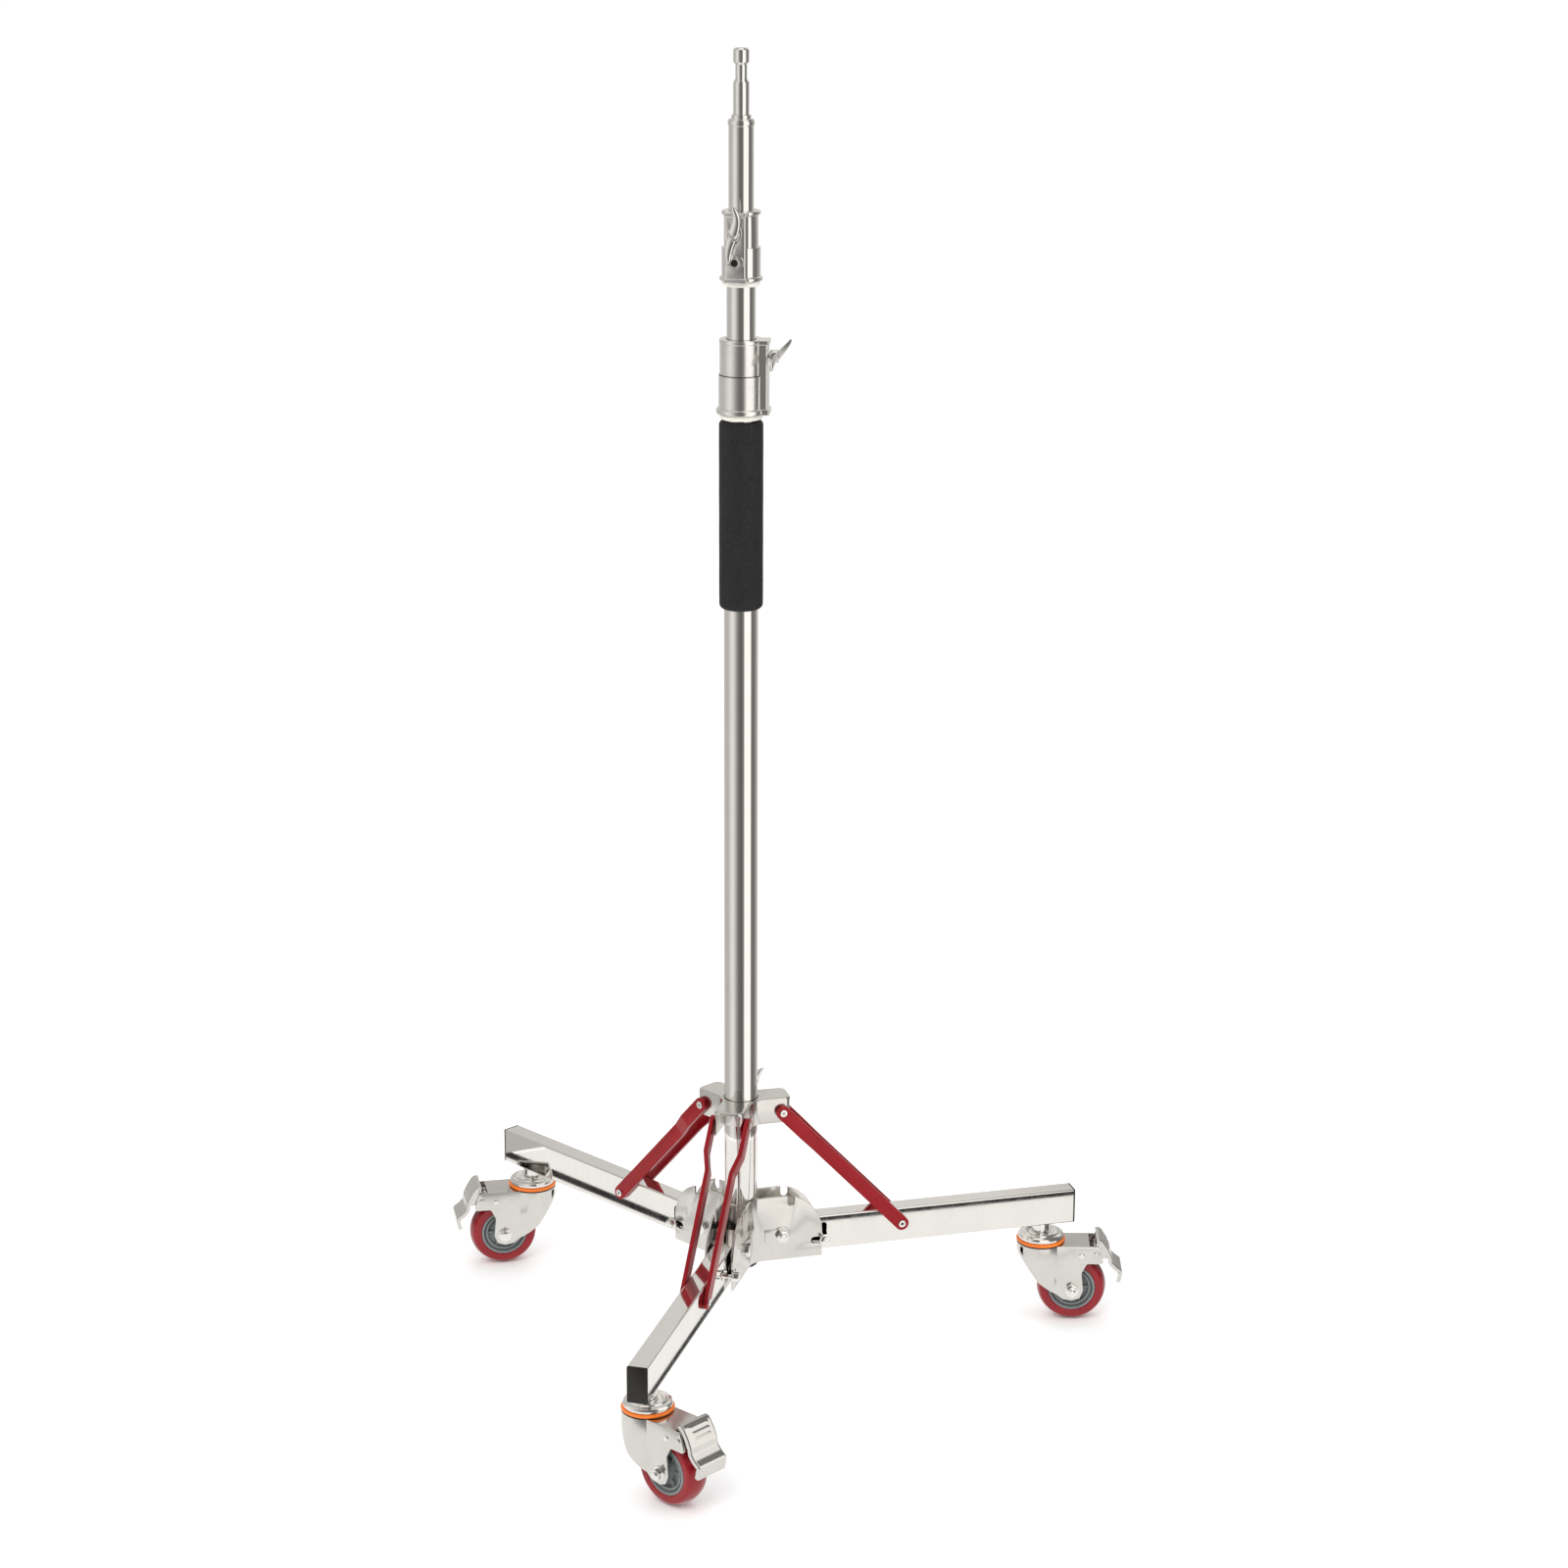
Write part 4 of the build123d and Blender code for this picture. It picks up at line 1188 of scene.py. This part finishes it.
@dataclass
class Studio:
    """Pale floor, a tent that only reflections see, soft lights and the camera, in metres.

    tent_bands are grey levels by share of a turn, from behind the stand round to behind it again.
    A strip is a leg's bearing, the bearing that the side showing it faces, its reach along the
    leg in metres, and the least and greatest height of its image on that side in millimetres.
    """

    floor_half: float = 60.0
    leg_half: float = 0.0105
    leg_start: float = 0.03
    tent_radius: float = 0.62
    tent_height: float = 3.1
    tent_foot: float = 0.004
    base_height: float = 0.0015
    strip_height: float = 0.0025
    warmth: tuple[float, float, float] = (1.0, 0.985, 0.96)
    sky: float = 1.1
    aim: tuple[float, float, float] = (0.0, 0.0, 0.6)
    camera_distance: float = 3.509
    camera_height: float = 1.653
    camera_bearing: float = -104.35
    heading: float = -15.07
    pitch: float = 16.23
    roll: float = 0.22
    lens: float = 81.74
    tent_base: float = 0.96
    tent_bands: tuple[tuple[float, float], ...] = (
        (0.0, 0.72), (0.08, 0.60), (0.17, 0.50), (0.235, 0.52), (0.285, 0.70), (0.33, 0.86),
        (0.37, 0.72), (0.41, 0.42), (0.445, 0.22), (0.485, 0.135), (0.525, 0.15), (0.55, 0.30),
        (0.57, 1.14), (0.685, 1.14), (0.70, 0.19), (0.77, 0.17), (0.83, 0.36), (0.92, 0.74),
        (1.0, 0.72))
    strips: tuple[tuple[float, float, float, float, float], ...] = (
        (0.0, -90.0, 0.40, 139.5, 148.0), (120.0, 210.0, 0.40, 113.0, 121.5),
        (240.0, -30.0, 0.40, 110.0, 117.5))

    def floor(self) -> None:
        """Lay the pale floor."""
        graph = Graph("pale_floor", (0.93, 0.93, 0.93), 0.9, 0.0)
        graph.surface.inputs["Specular IOR Level"].default_value = 0.0
        mottle = graph.noise(3.0, 2.0)
        graph.drive("Base Color", graph.blend(mottle, (0.935, 0.935, 0.935), (0.925, 0.925, 0.925)))
        form = bmesh.new()
        bmesh.ops.create_grid(form, x_segments=1, y_segments=1, size=self.floor_half)
        self._stand("floor", form, graph.material)

    def _stand(self, name: str, form: bmesh.types.BMesh,
               material: bpy.types.Material) -> bpy.types.Object:
        """Link a stage object, which isn't part of the stand.

        Args:
            name: its name.
            form: its mesh, which is used up.
            material: its material.

        Returns:
            The object.
        """
        mesh = bpy.data.meshes.new(name)
        form.to_mesh(mesh)
        form.free()
        mesh.materials.append(material)
        made = bpy.data.objects.new(name, mesh)
        bpy.context.scene.collection.objects.link(made)
        return made

    @staticmethod
    def _glow(name: str) -> Graph:
        """Start a material that only gives out light.

        Args:
            name: the material's name.

        Returns:
            Its graph, with the emission's colour still to be driven.
        """
        graph = Graph(name, (0.0, 0.0, 0.0), 1.0, 0.0)
        graph.surface.inputs["Specular IOR Level"].default_value = 0.0
        graph.surface.inputs["Emission Strength"].default_value = 1.0
        return graph

    def tent(self) -> None:
        """Stand the reflection tent: light and dark panels round the stand."""
        graph = self._glow("tent_panels")
        turned = graph.node("ShaderNodeMapping", {"vector_type": "POINT"},
                            {"Vector": graph.place(),
                             "Rotation": (0, 0, math.radians(-self.camera_bearing))})
        split = graph.node("ShaderNodeSeparateXYZ", {}, {0: turned})
        across = Wire(graph, split.socket.node.outputs["Y"])
        bearing = graph.node("ShaderNodeMath", {"operation": "ARCTAN2"}, {0: across, 1: split})
        share = bearing * (1 / FULL_TURN) + 0.5
        band = graph.node("ShaderNodeValToRGB", {"stops": self.tent_bands}, {"Fac": share})
        warm = graph.node("ShaderNodeMix", {"data_type": "RGBA", "blend_type": "MULTIPLY"},
                          {0: 1.0, 6: band, 7: (1.0, 0.975, 0.94, 1.0)}, 2)
        graph.drive("Emission Color", warm)
        form = bmesh.new()
        bmesh.ops.create_cone(form, cap_ends=False, segments=96, radius1=self.tent_radius,
                              radius2=self.tent_radius, depth=self.tent_height)
        bmesh.ops.translate(form, verts=form.verts,
                            vec=(0, 0, self.tent_height / 2 + self.tent_foot))
        self._reflect_only(self._stand("reflection_tent", form, graph.material))

    def panels(self) -> None:
        """Lay the tent's light base and roof, and a dark strip that each leg's side reflects."""
        light, dark = self._glow("tent_base"), self._glow("dark_strip")
        base = self.tent_base
        for graph, low, high in ((light, base * 0.97, base * 1.03), (dark, 0.02, 0.03)):
            dim, bright = ([level * tint for tint in self.warmth] for level in (low, high))
            graph.drive("Emission Color", graph.blend(graph.noise(2.0), dim, bright))
        for name, height in (("tent_base", self.base_height), ("tent_roof", self.tent_height)):
            form = bmesh.new()
            bmesh.ops.create_circle(form, cap_ends=True, segments=96, radius=self.tent_radius)
            bmesh.ops.translate(form, verts=form.verts, vec=(0, 0, height))
            self._reflect_only(self._stand(name, form, light.material))
        for number, (leg, facing, reach, low, high) in enumerate(self.strips):
            form = bmesh.new()
            corners = [form.verts.new(self._bounce(leg, facing, out, height * MM))
                       for out, height in ((self.leg_start, low), (reach, low), (reach, high),
                                           (self.leg_start, high))]
            form.faces.new(corners)
            self._reflect_only(self._stand(f"dark_strip_{number}", form, dark.material))

    def _eye(self) -> Vector:
        """The camera's place."""
        bearing = math.radians(self.camera_bearing)
        return Vector((self.camera_distance * math.cos(bearing),
                       self.camera_distance * math.sin(bearing), self.camera_height))

    def _bounce(self, leg: float, facing: float, out: float, height: float) -> Vector:
        """Find where a line of sight meets the floor after a leg's side turns it.

        Args:
            leg: bearing of the leg in degrees.
            facing: bearing of the side's normal in degrees.
            out: distance along the leg in metres.
            height: height on its side in metres.

        Returns:
            The place on the floor.
        """
        along, face = (Vector((math.cos(math.radians(bearing)), math.sin(math.radians(bearing)), 0.0))
                       for bearing in (leg, facing))
        spot = along * out + face * self.leg_half + Vector((0, 0, height))
        sight = (spot - self._eye()).reflect(face)
        place = spot - sight * (height / sight.z)
        return Vector((place.x, place.y, self.strip_height))

    @staticmethod
    def _reflect_only(made: bpy.types.Object) -> None:
        """Leave a stage object to reflections alone.

        Args:
            made: the object.
        """
        made.visible_camera = False
        made.visible_shadow = False
        made.visible_diffuse = False
        made.visible_transmission = False

    def lights(self) -> None:
        """Hang the soft lights and set an even sky."""
        for name, spot, size, power in (("key", (-2.2, -2.6, 3.4), 2.6, 60.0),
                                        ("fill", (2.8, -1.4, 2.6), 2.4, 16.0),
                                        ("back", (0.4, 3.0, 3.0), 2.6, 20.0)):
            light = bpy.data.lights.new(name, "AREA")
            light.size = size
            light.energy = power
            lamp = bpy.data.objects.new(name, light)
            lamp.location = spot
            lamp.rotation_mode = "QUATERNION"
            lamp.rotation_quaternion = (Vector(self.aim) - Vector(spot)).to_track_quat("-Z", "Y")
            lamp.visible_glossy = False
            bpy.context.scene.collection.objects.link(lamp)
        world = bpy.data.worlds.new("even_sky")
        world.use_nodes = True
        background = world.node_tree.nodes["Background"]
        background.inputs["Color"].default_value = (1.0, 1.0, 1.0, 1.0)
        background.inputs["Strength"].default_value = self.sky
        bpy.context.scene.world = world

    def camera(self) -> None:
        """Set the camera at the stand's front."""
        data = bpy.data.cameras.new("camera")
        data.lens = self.lens
        made = bpy.data.objects.new("camera", data)
        made.location = self._eye()
        turn = (Matrix.Rotation(math.radians(self.heading), 4, "Z")
                @ Matrix.Rotation(math.radians(90 - self.pitch), 4, "X")
                @ Matrix.Rotation(math.radians(self.roll), 4, "Z"))
        made.rotation_mode = "QUATERNION"
        made.rotation_quaternion = turn.to_quaternion()
        bpy.context.scene.collection.objects.link(made)
        bpy.context.scene.camera = made

    def build(self) -> None:
        """Set up the whole studio."""
        self.floor()
        self.tent()
        self.panels()
        self.lights()
        self.camera()
        bpy.context.scene.view_settings.view_transform = "Standard"


def main() -> None:
    """Build every sub-assembly, then the studio."""
    logging.basicConfig(level=logging.INFO, format="%(message)s")
    Column().build()
    Grip().build()
    for lever in (ClampLever("lower_clamp_lever", "lower_lever", "lower_lever_turn", -58.0, 1.4),
                  ClampLever("upper_clamp_lever", "upper_lever", "upper_lever_turn", 0.0, 1.4),
                  ClampLever("spider_clamp_lever", "spider_lever", "spider_lever_turn", 25.0, 0.4)):
        lever.build()
    Base().build()
    for leg in LEGS:
        Caster(leg).build()
    Studio().build()


if __name__ == "__main__":
    main()
